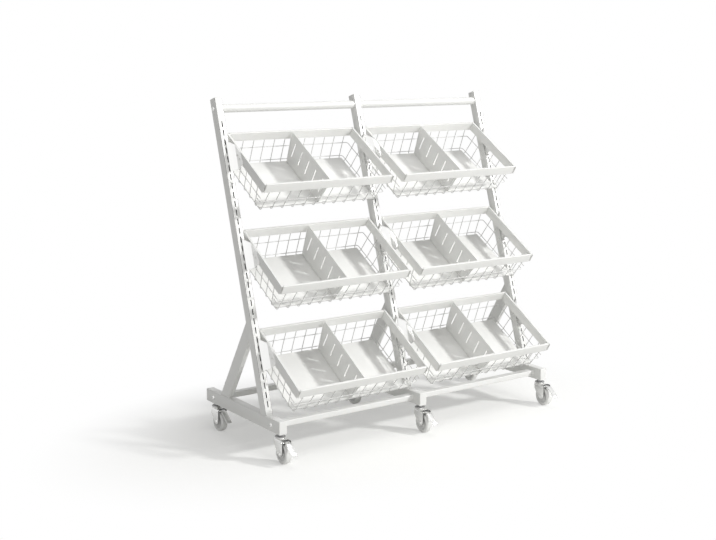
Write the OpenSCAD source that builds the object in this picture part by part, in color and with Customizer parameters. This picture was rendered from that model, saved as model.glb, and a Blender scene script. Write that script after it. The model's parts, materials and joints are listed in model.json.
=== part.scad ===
// Two-bay display rack on castors: three leaning uprights, six hook-on wire baskets.
// Origin at the floor, in the middle of the rack's length and depth. Millimetres.

/* [Frame] */
// Distance between the centres of two neighbouring uprights
bay_pitch = 600; // [520:10:800]
// Width of the foot and upright tubes, across the rack
tube_w = 30; // [26:1:36]
// Wall of every frame tube
tube_wall = 2; // [1.5:0.5:2.5]
// Length of a foot, end caps included
foot_len = 515; // [490:5:640]
// Height of the foot tube
foot_h = 46; // [42:1:60]
// Depth of an upright tube, front to back
upright_d = 35; // [30:1:45]
// Length of an upright along its front face
upright_len = 1125; // [1118:1:1300]
// Backward lean of the uprights, in degrees
lean = 17.3; // [14:0.1:20]
// Foot's front end to the upright's front edge
upright_setback = 89; // [80:1:120]
// Width of a rear brace, across the rack
brace_w = 20; // [16:1:24]
// Depth of a rear brace
brace_d = 50; // [36:1:56]
// Forward lean of the rear braces, in degrees
brace_lean = 32; // [28:1:36]
// Foot's rear end to the brace's rear edge
brace_setback = 99; // [90:1:120]
// Depth of a rail tube, front to back
rail_d = 30; // [24:1:36]
// Height of a rail tube
rail_h = 20; // [18:1:26]
// Foot's end to the centre of the rail near it
rail_inset = 54; // [50:1:62]
// Diameter of the round crossbars
crossbar_dia = 30; // [25:1:32]
// Distance from an upright's top end to its crossbar's centre
crossbar_drop = 34; // [30:1:50]
// Thickness of the flange of a tube cap
cap_t = 3; // [2:0.5:4]
// Depth of a tube cap's plug
cap_plug = 7; // [5:1:8]

/* [Slots] */
// Distance between two slots of an upright
slot_pitch = 32; // [30:1:34]
// Length of a slot
slot_len = 22; // [21:1:24]
// Width of a slot
slot_w = 4; // [3.8:0.1:4]
// Height of the lowest slot's centre along the upright
slot_first = 38; // [32:1:50]
// Number of slots in an upright
slot_count = 32; // [30:1:32]
// Slot that takes the top hook of the lowest basket, counted from 0
first_basket_slot = 6; // [5:1:7]
// Slots from one basket to the next above it
basket_step = 11; // [10:1:11]

/* [Basket] */
// Gap between an upright and the side of a basket
basket_gap = 10; // [8:1:16]
// Depth of a basket at its rim
basket_d = 310; // [280:1:340]
// Height of a basket, rim to lowest wire
basket_h = 130; // [115:1:140]
// Forward tilt of the baskets below the horizontal, in degrees
basket_tilt = 32; // [29:1:34]
// Distance of the rear rim behind the uprights' front faces
basket_sink = 24; // [20:1:28]
// Height of the rim band
rim_h = 34; // [30:1:38]
// Thickness of the folded rim band
rim_t = 8; // [6:0.5:9]
// Sheet of the rim band
rim_sheet = 1; // [0.8:0.1:1]
// Diameter of the basket wires
wire_d = 3; // [2.5:0.1:3]
// Distance between the upright wires of the long walls
wire_pitch = 44; // [40:1:46]
// Upright wires in a long wall
long_wires = 12; // [10:2:12]
// Upright wires in a side wall
side_wires = 6; // [4:2:6]
// Inward slope of the walls, in degrees
wall_taper = 9.5; // [6:0.5:11]
// Depth of the level wire of the side and rear walls
mid_wire = 66; // [56:1:72]
// Depth of the level wire of the front wall
front_wire = 82; // [76:1:94]
// Sheet of the floor liner
liner_t = 1.5; // [1:0.1:2]

/* [Divider] */
// Sheet of a divider
divider_t = 1.5; // [1:0.1:2]
// Width of the foot flange of a divider
divider_foot = 22; // [16:1:30]
// Number of slots in a divider
divider_slots = 5; // [3:1:5]
// Distance between the slots of a divider
divider_pitch = 53; // [44:1:54]
// Width of a divider's slot
divider_slot_w = 5; // [4:0.5:7]
// Length of a divider's slot
divider_slot_len = 58; // [40:1:60]

/* [Bracket] */
// Sheet of a basket bracket
bracket_t = 1.5; // [1.2:0.1:1.5]
// Height of a bracket at its upright
bracket_h = 95; // [90:1:100]
// Reach of a bracket in front of its upright, to its end's centre
bracket_reach = 46; // [44:1:50]
// Radius of a bracket's front end
bracket_end_r = 13; // [11:1:14]
// How far a basket lifts in its slots before it comes off
hook_lift = 8; // [6:0.5:8]
// Height of a hook's neck
hook_neck = 12; // [10:0.5:12]

/* [Castor] */
// Height of a castor under its foot
castor_h = 98; // [96:1:104]
// Diameter of a castor wheel
wheel_dia = 70; // [66:1:72]
// Width of a wheel's tread
wheel_w = 24; // [20:1:25]
// Horizontal distance from the swivel axis to the axle
trail = 24; // [22:1:26]
// Foot's front end to the front swivel axis
front_castor = 20; // [20:1:26]
// Foot's rear end to the rear swivel axis
rear_castor = 51; // [40:1:56]
// Radius of the axle
axle_r = 4; // [3.5:0.1:4.5]
// Radius of the kingpin
kingpin_r = 5; // [4.5:0.1:6]
// Swivel axis to the toe of the brake pedal
toe_reach = 92; // [86:1:98]

/* [Hidden] */

$fn = 48;
// Clearance of a sliding or hooked fit
fit = 0.3;
// Clearance where two fixed pieces lie face to face
seat = 0.1;
// Radial clearance of a pin in its bore
run = 0.05;
powder = "whitesmoke";
zinc = "silver";
grey_plastic = "gainsboro";

// Frame
foot_y = -(foot_len - (toe_reach - front_castor)) / 2;
foot_top = castor_h + foot_h;
upright_y = foot_y + upright_setback;
brace_y = foot_y + foot_len - brace_setback;
rail_ys = [foot_y + rail_inset, foot_y + foot_len - rail_inset];
rail_z = castor_h + foot_h / 2;
rail_len = bay_pitch - tube_w;
crossbar_z = upright_len - crossbar_drop;
post_xs = [-bay_pitch, 0, bay_pitch];
bay_xs = [-bay_pitch / 2, bay_pitch / 2];
bolt_r = 4;
bolt_head_r = 7.5;
bolt_head_t = 4;
insert_len = 25;
cutter = 400;

// Castor, measured from the swivel axis at the floor
castor_ys = [foot_y + front_castor, foot_y + foot_len - rear_castor];
wheel_r = wheel_dia / 2;
leg_in = wheel_w / 2 + 3.5;
leg_t = 2.5;
nut_h = 7;
race_t = 3;
race_r = 19;
race_z = castor_h - nut_h - race_t;
race_dome = 5.4;
crown_top = race_z - fit - race_dome;
crown_t = 2.5;
crown_z = crown_top - crown_t;
kingpin_head_r = 8;
kingpin_head_t = 3.5;
stem_len = 15;
stem_r = 6;
stem_nut_r = 9;
crown_r = race_r + 2;
leg_r = 17;
leg_low = [-trail, wheel_r + 9];
leg_rear = [sqrt(crown_r * crown_r - (leg_in + leg_t) * (leg_in + leg_t)), crown_top - 18];
fork_front = -trail - leg_r;
pivot_y = -trail - 10;
pivot_z = crown_z - 4.5;
pivot_r = 3;
barrel_r = 4.5;
pedal_t = 2.5;
pedal_w = 2 * leg_in - 2;
toe_drop = 32;
toe_z = pivot_z - toe_drop;
pedal_plate_w = wheel_w - 4;
shoe_w = wheel_w - 8;

// Basket, in its own frame: x across, -y forward, -z down from the rear rim's top
basket_w = bay_pitch - tube_w - 2 * basket_gap;
slope = tan(wall_taper);
wall_top = rim_t - rim_sheet - seat - wire_d / 2 / cos(wall_taper);
wire_grip = min(12, (rim_t - 2 * (rim_sheet + seat) - wire_d / cos(wall_taper)) / slope);
wire_flat = wire_d * cos(22.5);
weld_step = 0.92 * wire_flat;
bend = 8.5;
bend_gap = 1.3;
wall_end = basket_h - wire_d / 2 - bend - bend_gap;
floor_wire_z = -basket_h + wire_d / 2;
cross_wire_z = floor_wire_z + weld_step;
liner_z = cross_wire_z + wire_flat / 2 + seat;
ring_gap = 2.6;
// Half width and half depth between the wire walls' centre planes at a depth below the rim
function half_w(depth) = basket_w / 2 - wall_top - max(0, depth - rim_h) * slope;
function half_d(depth) = basket_d / 2 - wall_top - max(0, depth - rim_h) * slope;
liner_w = 2 * (half_w(basket_h - bend) - wire_d / 2 - wire_flat - ring_gap);
liner_d = 2 * (half_d(basket_h - bend) - wire_d / 2 - wire_flat - ring_gap);
divider_z = liner_z + liner_t + fit;
divider_top = -4;
divider_slot_drop = 26;
divider_foot_d = liner_d - 4;

// Rows: height along the upright of each row's top hook slot and rear rim
rim_above_hook = 70;
rows = [for (i = [0:2]) slot_first + (first_basket_slot + i * basket_step) * slot_pitch];
hook_offset = 1;
hook_slots = [0, -2];
hook_lug = 3;
joggle_start = 6;
joggle = 16;
bracket_top_drop = 54;
bracket_nose_drop = 71;
bracket_x = tube_w / 2 + basket_gap - seat - bracket_t / 2;
rivet_r = 2.4;
rivet_head_r = 4.5;
rivet_head_t = 1.5;
rivet_places = [[-106, -24], [-126, -24]];

// Points of a bent sheet of thickness t along the path p, with mitred corners
function across(v) = [-v[1], v[0]] / norm(v);
function edge_point(p, i, o) =
    i == 0 ? p[0] + o * across(p[1] - p[0]) :
    i == len(p) - 1 ? p[i] + o * across(p[i] - p[i - 1]) :
    let (a = across(p[i] - p[i - 1]), b = across(p[i + 1] - p[i]))
    p[i] + o * (a + b) / (1 + a * b);
function sheet(p, t) = concat(
    [for (i = [0:len(p) - 1]) edge_point(p, i, t / 2)],
    [for (i = [len(p) - 1:-1:0]) edge_point(p, i, -t / 2)]);

// Frames of reference
module on_upright(x) {
    translate([x, upright_y, foot_top]) rotate([-lean, 0, 0]) children();
}
module in_basket(bay, row) {
    on_upright(bay_xs[bay]) translate([0, basket_sink, rows[row] + rim_above_hook])
        rotate([lean + basket_tilt, 0, 0]) children();
}
module at_castor(side, end) {
    translate([post_xs[side], castor_ys[end], 0]) children();
}
module along_x(length) {
    rotate([0, 90, 0]) translate([0, 0, -length / 2]) linear_extrude(length) children();
}

// Rectangular tube along z, one of its walls on y = 0
module box_tube(w, d, length) {
    linear_extrude(length) difference() {
        translate([-w / 2, 0]) square([w, d]);
        translate([-w / 2 + tube_wall, tube_wall]) square([w - 2 * tube_wall, d - 2 * tube_wall]);
    }
}

module foot(side) {
    color(powder) difference() {
        translate([post_xs[side], foot_y + cap_t, castor_h + foot_h]) rotate([-90, 0, 0])
            box_tube(tube_w, foot_h, foot_len - 2 * cap_t);
        for (y = rail_ys)
            translate([post_xs[side], y, rail_z]) rotate([0, 90, 0])
                cylinder(r = bolt_r + fit, h = tube_w + 2, center = true);
        for (y = castor_ys)
            translate([post_xs[side], y, castor_h - 1]) cylinder(r = stem_r + fit, h = tube_wall + 2);
    }
}

module tube_cap(w, d) {
    translate([-w / 2, 0, 0]) cube([w, d, cap_t]);
    translate([-w / 2 + tube_wall + seat, tube_wall + seat, -cap_plug])
        cube([w - 2 * (tube_wall + seat), d - 2 * (tube_wall + seat), cap_plug + 0.5]);
}

module foot_end_caps() {
    color(powder) for (x = post_xs) {
        translate([x, foot_y + cap_t, castor_h]) rotate([90, 0, 0]) tube_cap(tube_w, foot_h);
        translate([x, foot_y + foot_len - cap_t, castor_h + foot_h]) rotate([-90, 0, 0])
            tube_cap(tube_w, foot_h);
    }
}

module rail(bay, y) {
    translate([bay_xs[bay], y, rail_z]) along_x(rail_len) difference() {
        square([rail_h, rail_d], center = true);
        square([rail_h - 2 * tube_wall, rail_d - 2 * tube_wall], center = true);
    }
}
module front_rails() {
    color(powder) for (bay = [0, 1]) rail(bay, rail_ys[0]);
}
module rear_rails() {
    color(powder) for (bay = [0, 1]) rail(bay, rail_ys[1]);
}

// Threaded block in the end of a rail, crossbar or foot
module end_insert(h, d) {
    along_x(insert_len) difference() {
        if (d == 0) circle(r = h / 2 - tube_wall - seat);
        else square([h - 2 * (tube_wall + seat), d - 2 * (tube_wall + seat)], center = true);
        circle(r = bolt_r + run);
    }
}
module threaded_inserts() {
    color(zinc) {
        for (x = bay_xs, s = [-1, 1]) {
            for (y = rail_ys)
                translate([x + s * (rail_len - insert_len) / 2, y, rail_z]) end_insert(rail_h, rail_d);
            on_upright(x + s * (rail_len - insert_len) / 2)
                translate([0, upright_d / 2, crossbar_z]) end_insert(crossbar_dia, 0);
        }
        for (x = post_xs, y = castor_ys)
            translate([x, y, castor_h + tube_wall + seat]) difference() {
                cylinder(r = stem_nut_r, h = stem_len - tube_wall - seat);
                translate([0, 0, -1]) cylinder(r = stem_r + run, h = stem_len);
            }
    }
}

// Bolts through the outer posts and studs through the middle one, at the current place
module post_bolt(side) {
    reach = tube_w / 2 + insert_len;
    if (side == 1) rotate([0, 90, 0]) cylinder(r = bolt_r, h = 2 * reach - 2, center = true);
    else mirror([side == 2 ? 1 : 0, 0, 0]) rotate([0, 90, 0]) {
        translate([0, 0, -tube_w / 2]) cylinder(r = bolt_r, h = tube_w / 2 + reach - 1);
        translate([0, 0, -tube_w / 2 - seat - bolt_head_t])
            cylinder(r1 = bolt_head_r - 2, r2 = bolt_head_r, h = bolt_head_t);
        translate([0, 0, -tube_w / 2 - seat - 1]) cylinder(r = bolt_r, h = 2);
    }
}
module rail_bolts() {
    color(zinc) for (side = [0:2], y = rail_ys)
        translate([post_xs[side], y, rail_z]) post_bolt(side);
}
module crossbar_bolts() {
    color(zinc) for (side = [0:2])
        on_upright(post_xs[side]) translate([0, upright_d / 2, crossbar_z]) post_bolt(side);
}
module crossbars() {
    color(powder) for (x = bay_xs)
        on_upright(x) translate([0, upright_d / 2, crossbar_z]) along_x(rail_len) difference() {
            circle(d = crossbar_dia);
            circle(d = crossbar_dia - 2 * tube_wall);
        }
}

module below_foot_top() {
    translate([-2 * bay_pitch, -foot_len, foot_top - cutter])
        cube([4 * bay_pitch, 3 * foot_len, cutter]);
}
module upright(side) {
    color(powder) difference() {
        on_upright(post_xs[side]) difference() {
            box_tube(tube_w, upright_d, upright_len);
            for (i = [0:slot_count - 1])
                translate([-slot_w / 2, -1, slot_first + i * slot_pitch - slot_len / 2])
                    cube([slot_w, tube_wall + 2, slot_len]);
            translate([0, upright_d / 2, crossbar_z]) rotate([0, 90, 0])
                cylinder(r = bolt_r + fit, h = tube_w + 2, center = true);
        }
        below_foot_top();
    }
}
module upright_caps() {
    color(powder) for (x = post_xs)
        on_upright(x) translate([0, 0, upright_len]) tube_cap(tube_w, upright_d);
}
module brace(side) {
    color(powder) difference() {
        translate([post_xs[side], brace_y, foot_top]) rotate([brace_lean, 0, 0])
            translate([0, -brace_d, -brace_d]) box_tube(brace_w, brace_d, foot_len);
        below_foot_top();
        on_upright(post_xs[side])
            translate([-tube_w, upright_d - foot_len, -tube_w]) cube([2 * tube_w, foot_len, upright_len]);
    }
}

// Threaded stud, nut, upper race, kingpin and its riveted head
module castor_stems() {
    color(zinc) for (side = [0:2], end = [0, 1]) at_castor(side, end) {
        translate([0, 0, castor_h - 1]) cylinder(r = stem_r, h = stem_len + 1);
        translate([0, 0, castor_h - nut_h]) cylinder(r = 11, h = nut_h, $fn = 6);
        translate([0, 0, race_z]) cylinder(r1 = race_r, r2 = race_r - 3, h = race_t);
        translate([0, 0, crown_z - 0.5]) cylinder(r = kingpin_r, h = race_z - crown_z + 1);
        translate([0, 0, crown_z - fit - kingpin_head_t]) cylinder(r = kingpin_head_r, h = kingpin_head_t);
    }
}

// Where the line from p runs onto the circle of radius r about c, on its right side
function touch_point(p, c, r) = let (d = p - c, a = atan2(d[1], d[0]) - acos(r / norm(d)))
    c + r * [cos(a), sin(a)];

// Fork: lower race, crown and two pressed legs, with its axle and pedal pin
module fork_leg() {
    linear_extrude(leg_t) difference() {
        union() {
            polygon([[fork_front, crown_top], [leg_rear[0], crown_top], leg_rear,
                     touch_point(leg_rear, leg_low, leg_r), leg_low, [fork_front, leg_low[1]]]);
            translate(leg_low) circle(r = leg_r);
        }
        translate([-trail, wheel_r]) circle(r = axle_r + run);
        translate([pivot_y, pivot_z]) circle(r = pivot_r + run);
    }
}
module cross_pin(r, head_r) {
    rotate([0, 90, 0]) {
        cylinder(r = r, h = 2 * (leg_in + leg_t) + 1, center = true);
        for (s = [-1, 1]) translate([0, 0, s * (leg_in + leg_t + seat + 1)])
            cylinder(r = head_r, h = 2, center = true);
    }
}
module castor_fork(side, end) {
    color(zinc) at_castor(side, end) {
        difference() {
            union() {
                for (x = [-leg_in - leg_t, leg_in])
                    translate([x, 0, 0]) rotate([90, 0, 90]) fork_leg();
                translate([-leg_in - 0.5, fork_front + 12, crown_z])
                    cube([2 * leg_in + 1, -fork_front - 12, crown_t]);
                translate([0, 0, crown_z]) cylinder(r = crown_r, h = crown_t);
                translate([0, 0, crown_top - 0.5])
                    cylinder(r1 = race_r - 4, r2 = race_r, h = race_dome + 0.5);
            }
            translate([0, 0, crown_z - 1]) cylinder(r = kingpin_r + run, h = race_z);
        }
        translate([0, -trail, wheel_r]) cross_pin(axle_r, axle_r + 3);
        translate([0, pivot_y, pivot_z]) cross_pin(pivot_r, pivot_r + 1.5);
    }
}
module castor_wheel(side, end) {
    hub_x = leg_in - 0.8;
    web = wheel_w / 2 - 4;
    color(grey_plastic) at_castor(side, end) translate([0, -trail, wheel_r]) rotate([0, 90, 0])
        rotate_extrude($fn = 96) polygon([
            [axle_r + run, -hub_x], [12, -hub_x], [13, -web], [wheel_r - 10, -web],
            [wheel_r - 9, -wheel_w / 2], [wheel_r - 2, -wheel_w / 2], [wheel_r, -wheel_w / 2 + 4],
            [wheel_r, wheel_w / 2 - 4], [wheel_r - 2, wheel_w / 2], [wheel_r - 9, wheel_w / 2],
            [wheel_r - 10, web], [13, web], [12, hub_x], [axle_r + run, hub_x]]);
}
module castor_pedal(side, end) {
    toe_y = -toe_reach;
    color(zinc) at_castor(side, end) difference() {
        union() {
            translate([0, pivot_y, pivot_z]) along_x(pedal_w) circle(r = barrel_r);
            rotate([90, 0, 90]) translate([0, 0, -pedal_plate_w / 2]) linear_extrude(pedal_plate_w)
                polygon(sheet([[pivot_y, pivot_z + barrel_r - pedal_t / 2],
                               [pivot_y - 22, pivot_z + 1], [toe_y + 5, toe_z + 6],
                               [toe_y + pedal_t / 2, toe_z]], pedal_t));
            translate([0, pivot_y, pivot_z]) rotate([90, 0, 90]) translate([0, 0, -shoe_w / 2])
                linear_extrude(shoe_w) polygon([[0, 1], [-6, -6.6], [-11, -8.2], [-12, 1]]);
        }
        translate([0, pivot_y, pivot_z]) rotate([0, 90, 0])
            cylinder(r = pivot_r + run, h = pedal_w + 2, center = true);
    }
}

// Basket wires: eight-sided, straight along z from the current place
module wire(length) {
    rotate([0, 0, 22.5]) cylinder(d = wire_d, h = length, $fn = 8);
}
module wire_x(length) {
    rotate([0, 90, 0]) translate([0, 0, -length / 2]) wire(length);
}
// One wall, flat and sloping in from the rim, with its wires' upper ends in the rim's channel.
// A level wire is [depth, side, half length], side 1 outside the upright wires, -1 inside.
module wire_wall(count, levels) {
    span = (wall_end - rim_h) / cos(wall_taper);
    translate([0, 0, -rim_h]) rotate([wall_taper, 0, 0]) {
        for (i = [0:count - 1])
            translate([(i - (count - 1) / 2) * wire_pitch, 0, -span]) wire(span + wire_grip);
        for (l = levels)
            translate([0, -l[1] * weld_step, (rim_h - l[0]) / cos(wall_taper)]) wire_x(2 * l[2]);
    }
}
// One floor wire: straight run and bends that rise to just under the walls' wires
module floor_wire(half_end, z) {
    rise = -wall_end - bend_gap - z;
    run = half_end - rise + 0.4;
    translate([0, run, z]) rotate([90, 0, 0]) wire(2 * run);
    for (s = [0, 1]) mirror([0, s, 0])
        translate([0, rise - half_end, z]) rotate([45, 0, 0]) translate([0, 0, -0.3])
            wire(rise / cos(45) + 0.3);
}
module basket_floor() {
    for (i = [0:long_wires - 1])
        translate([(i - (long_wires - 1) / 2) * wire_pitch, 0, 0])
            floor_wire(half_d(wall_end + bend_gap), floor_wire_z);
    for (i = [0:side_wires - 1])
        translate([0, (i - (side_wires - 1) / 2) * wire_pitch, 0])
            rotate([0, 0, 90]) floor_wire(half_w(wall_end + bend_gap), cross_wire_z);
}
module rim_bar(length) {
    along = rim_t - rim_sheet;
    translate([-length / 2, 0, 0]) rotate([90, 0, 90]) linear_extrude(length)
        polygon(sheet([[-along / 2, -rim_h], [-along / 2, -rim_sheet / 2],
                       [along / 2, -rim_sheet / 2], [along / 2, -rim_h]], rim_sheet));
}
module basket(bay, row) {
    low = wall_end - 3;
    color(powder) in_basket(bay, row) translate([0, -basket_d / 2, 0]) {
        for (s = [0, 1]) mirror([0, s, 0]) {
            ring = s == 0 ? front_wire : mid_wire;
            translate([0, -basket_d / 2 + rim_t / 2, 0]) rim_bar(basket_w - 2 * (rim_t + seat));
            translate([0, -half_d(0), 0])
                wire_wall(long_wires, [[ring, 1, half_w(ring) - wire_d],
                                       [low, -1, half_w(low) - 2 * wire_d]]);
        }
        difference() {
            for (s = [0, 1]) mirror([s, 0, 0])
                translate([-basket_w / 2 + rim_t / 2, 0, 0]) rotate([0, 0, 90]) rim_bar(basket_d);
            translate([0, basket_d / 2, 0]) rivet_holes();
        }
        for (s = [0, 1]) mirror([s, 0, 0])
            translate([-half_w(0), 0, 0]) rotate([0, 0, -90])
                wire_wall(side_wires, [[mid_wire, 1, half_d(mid_wire) - wire_d],
                                       [low, -1, half_d(low) - 2 * wire_d]]);
        basket_floor();
    }
}
module rivet_holes() {
    for (p = rivet_places, s = [-1, 1])
        translate([s * (basket_w / 2 - rim_sheet / 2), p[0], p[1]]) rotate([0, 90, 0])
            cylinder(r = rivet_r + run, h = rim_sheet + 0.6, center = true);
}
module liner(bay, row) {
    color(powder) in_basket(bay, row)
        translate([-liner_w / 2, -basket_d / 2 - liner_d / 2, liner_z]) cube([liner_w, liner_d, liner_t]);
}
module divider(bay, row) {
    top_half = basket_d / 2 - rim_t - 1.5;
    foot_half = divider_foot_d / 2;
    color(powder) in_basket(bay, row) translate([0, -basket_d / 2, 0]) {
        difference() {
            translate([-divider_t / 2, 0, 0]) rotate([90, 0, 90]) linear_extrude(divider_t)
                polygon([[-top_half, divider_top], [top_half, divider_top],
                         [top_half, -rim_h], [foot_half, divider_z],
                         [-foot_half, divider_z], [-top_half, -rim_h]]);
            for (i = [0:divider_slots - 1])
                translate([0, (i - (divider_slots - 1) / 2) * divider_pitch, divider_top - divider_slot_drop])
                    rotate([90, 0, 90]) linear_extrude(divider_t + 2, center = true) {
                        translate([-divider_slot_w / 2, -divider_slot_len + divider_slot_w / 2])
                            square([divider_slot_w, divider_slot_len - divider_slot_w]);
                        for (z = [-divider_slot_w / 2, -divider_slot_len + divider_slot_w / 2])
                            translate([0, z]) circle(d = divider_slot_w);
                    }
        }
        translate([-divider_t / 2, -foot_half, divider_z]) cube([divider_foot, divider_foot_d, divider_t]);
    }
}

// Bracket of the basket's left end: hooks in the upright's slots, joggles out to the rim
module bracket_outline(row) {
    top = rows[row] + rim_above_hook - bracket_top_drop;
    tip = [-bracket_reach, top - bracket_nose_drop];
    union() {
        polygon([[-fit, top], [-fit, top - bracket_h],
                 tip + bracket_end_r * [sin(-14), -cos(14)],
                 tip + bracket_end_r * [-sin(41.3), cos(41.3)]]);
        translate(tip) circle(r = bracket_end_r);
    }
}
module hook(row) {
    for (k = hook_slots)
        translate([0, rows[row] + k * slot_pitch - slot_len / 2 + seat]) {
            translate([-fit - 1, 0]) square([fit + 1 + tube_wall + fit + hook_lug, hook_neck]);
            translate([tube_wall + fit, -hook_lift]) square([hook_lug, hook_neck + hook_lift]);
        }
}
module end_bracket(row) {
    section = [[hook_offset, -fit], [hook_offset, -joggle_start],
               [bracket_x, -joggle_start - joggle], [bracket_x, -2 * bracket_reach]];
    difference() {
        union() {
            intersection() {
                translate([0, 0, rows[row] - 4 * bracket_h])
                    linear_extrude(8 * bracket_h) polygon(sheet(section, bracket_t));
                translate([-tube_w, 0, 0]) rotate([90, 0, 90])
                    linear_extrude(3 * tube_w) bracket_outline(row);
            }
            translate([hook_offset - bracket_t / 2, 0, 0]) rotate([90, 0, 90])
                linear_extrude(bracket_t) hook(row);
        }
        rivet_row(row) cylinder(r = rivet_r + run, h = 4 * tube_w, center = true);
    }
}
// Places of the rivets, seen from the upright at a basket's left end
module rivet_row(row) {
    translate([tube_w / 2 + basket_gap, basket_sink, rows[row] + rim_above_hook])
        rotate([lean + basket_tilt, 0, 0])
        for (p = rivet_places) translate([0, p[0], p[1]]) rotate([0, 90, 0]) children();
}
module rivet() {
    translate([0, 0, -bracket_t - 2 * seat - rivet_head_t]) cylinder(r = rivet_head_r, h = rivet_head_t);
    translate([0, 0, -bracket_t - 2 * seat - 0.5]) cylinder(r = rivet_r, h = bracket_t + rim_sheet + 1.4);
}
module brackets(bay, row) {
    color(powder) for (s = [0, 1])
        on_upright(bay_xs[bay]) mirror([s, 0, 0]) translate([-bay_pitch / 2, 0, 0]) {
            end_bracket(row);
            rivet_row(row) rivet();
        }
}

foot(0);  // foot_left
foot(1);  // foot_middle
foot(2);  // foot_right
foot_end_caps();
front_rails();
rear_rails();
threaded_inserts();
rail_bolts();
upright(0);  // upright_left
upright(1);  // upright_middle
upright(2);  // upright_right
upright_caps();
brace(0);  // brace_left
brace(1);  // brace_middle
brace(2);  // brace_right
crossbars();
crossbar_bolts();
castor_stems();
castor_fork(0, 0);  // castor_front_left_fork
castor_fork(1, 0);  // castor_front_middle_fork
castor_fork(2, 0);  // castor_front_right_fork
castor_fork(0, 1);  // castor_rear_left_fork
castor_fork(1, 1);  // castor_rear_middle_fork
castor_fork(2, 1);  // castor_rear_right_fork
castor_wheel(0, 0);  // castor_front_left_wheel
castor_wheel(1, 0);  // castor_front_middle_wheel
castor_wheel(2, 0);  // castor_front_right_wheel
castor_wheel(0, 1);  // castor_rear_left_wheel
castor_wheel(1, 1);  // castor_rear_middle_wheel
castor_wheel(2, 1);  // castor_rear_right_wheel
castor_pedal(0, 0);  // castor_front_left_pedal
castor_pedal(1, 0);  // castor_front_middle_pedal
castor_pedal(2, 0);  // castor_front_right_pedal
castor_pedal(0, 1);  // castor_rear_left_pedal
castor_pedal(1, 1);  // castor_rear_middle_pedal
castor_pedal(2, 1);  // castor_rear_right_pedal
basket(0, 0);  // basket_low_left
basket(0, 1);  // basket_mid_left
basket(0, 2);  // basket_top_left
basket(1, 0);  // basket_low_right
basket(1, 1);  // basket_mid_right
basket(1, 2);  // basket_top_right
liner(0, 0);  // liner_low_left
liner(0, 1);  // liner_mid_left
liner(0, 2);  // liner_top_left
liner(1, 0);  // liner_low_right
liner(1, 1);  // liner_mid_right
liner(1, 2);  // liner_top_right
divider(0, 0);  // divider_low_left
divider(0, 1);  // divider_mid_left
divider(0, 2);  // divider_top_left
divider(1, 0);  // divider_low_right
divider(1, 1);  // divider_mid_right
divider(1, 2);  // divider_top_right
brackets(0, 0);  // brackets_low_left
brackets(0, 1);  // brackets_mid_left
brackets(0, 2);  // brackets_top_left
brackets(1, 0);  // brackets_low_right
brackets(1, 1);  // brackets_mid_right
brackets(1, 2);  // brackets_top_right
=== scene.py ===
"""Studio scene of a rolling retail display rack with hook-on wire baskets.

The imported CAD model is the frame. Tubes, wire baskets, dividers, brackets, screws and
castors are modelled here as finer pieces that ride on its bodies, in the same places.
"""

import json
import logging
import math
from dataclasses import dataclass, field
from enum import Enum
from typing import Any, Callable, Iterable, Sequence

import bmesh
import bpy
from mathutils import Matrix, Vector

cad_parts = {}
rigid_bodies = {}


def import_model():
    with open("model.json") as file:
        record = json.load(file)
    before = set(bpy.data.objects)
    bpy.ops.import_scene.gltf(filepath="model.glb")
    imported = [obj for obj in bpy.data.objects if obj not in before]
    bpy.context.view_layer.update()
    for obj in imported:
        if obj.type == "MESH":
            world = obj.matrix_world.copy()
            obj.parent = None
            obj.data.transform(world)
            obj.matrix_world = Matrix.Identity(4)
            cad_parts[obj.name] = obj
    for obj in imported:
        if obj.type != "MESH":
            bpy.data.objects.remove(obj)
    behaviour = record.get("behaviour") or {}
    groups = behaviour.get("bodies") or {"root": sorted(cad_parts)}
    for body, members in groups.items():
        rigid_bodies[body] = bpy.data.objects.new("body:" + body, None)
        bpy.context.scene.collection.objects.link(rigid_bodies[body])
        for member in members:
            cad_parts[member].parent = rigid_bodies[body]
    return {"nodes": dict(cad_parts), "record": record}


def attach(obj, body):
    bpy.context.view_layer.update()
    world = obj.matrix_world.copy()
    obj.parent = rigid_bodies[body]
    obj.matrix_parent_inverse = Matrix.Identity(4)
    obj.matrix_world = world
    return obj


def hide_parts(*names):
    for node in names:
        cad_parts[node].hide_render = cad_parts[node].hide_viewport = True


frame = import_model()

LOG = logging.getLogger("rack")
ROOT_BODY = "frame"
MM = 0.001
WELD_DISTANCE = 1e-7

Mesh = bpy.types.Mesh
Node = bpy.types.Node
Socket = bpy.types.NodeSocket
Point2 = tuple[float, float]
Point3 = tuple[float, float, float]
Inputs = dict[str | int, Any]
# Picks, from a face's middle and normal, the faces that get the dark painted shade
ShadePick = Callable[[Vector, Vector], bool]


class Place(Enum):
    """Base of the named places, whose values are millimetres."""

    @property
    def label(self) -> str:
        """Name as the CAD nodes spell it."""
        return self.name.lower()


class Post(Place):
    """The three foot and upright lines, by x."""

    LEFT = -600.0
    MIDDLE = 0.0
    RIGHT = 600.0


class Bay(Place):
    """The two bays between the posts, by the x of their middles."""

    LEFT = -300.0
    RIGHT = 300.0


class Row(Place):
    """Basket rows, by the height of the top hook's slot along the upright."""

    LOW = 230.0
    MID = 582.0
    TOP = 934.0


class End(Place):
    """Front and rear castors, by the y of their swivel axes."""

    FRONT = -201.5
    REAR = 242.5


class Slot(Enum):
    """Material slots of the record."""

    POWDER = "powder_coat"
    CAP = "cap_plastic"
    ZINC = "bright_zinc"
    WHEEL = "castor_wheel"


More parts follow.
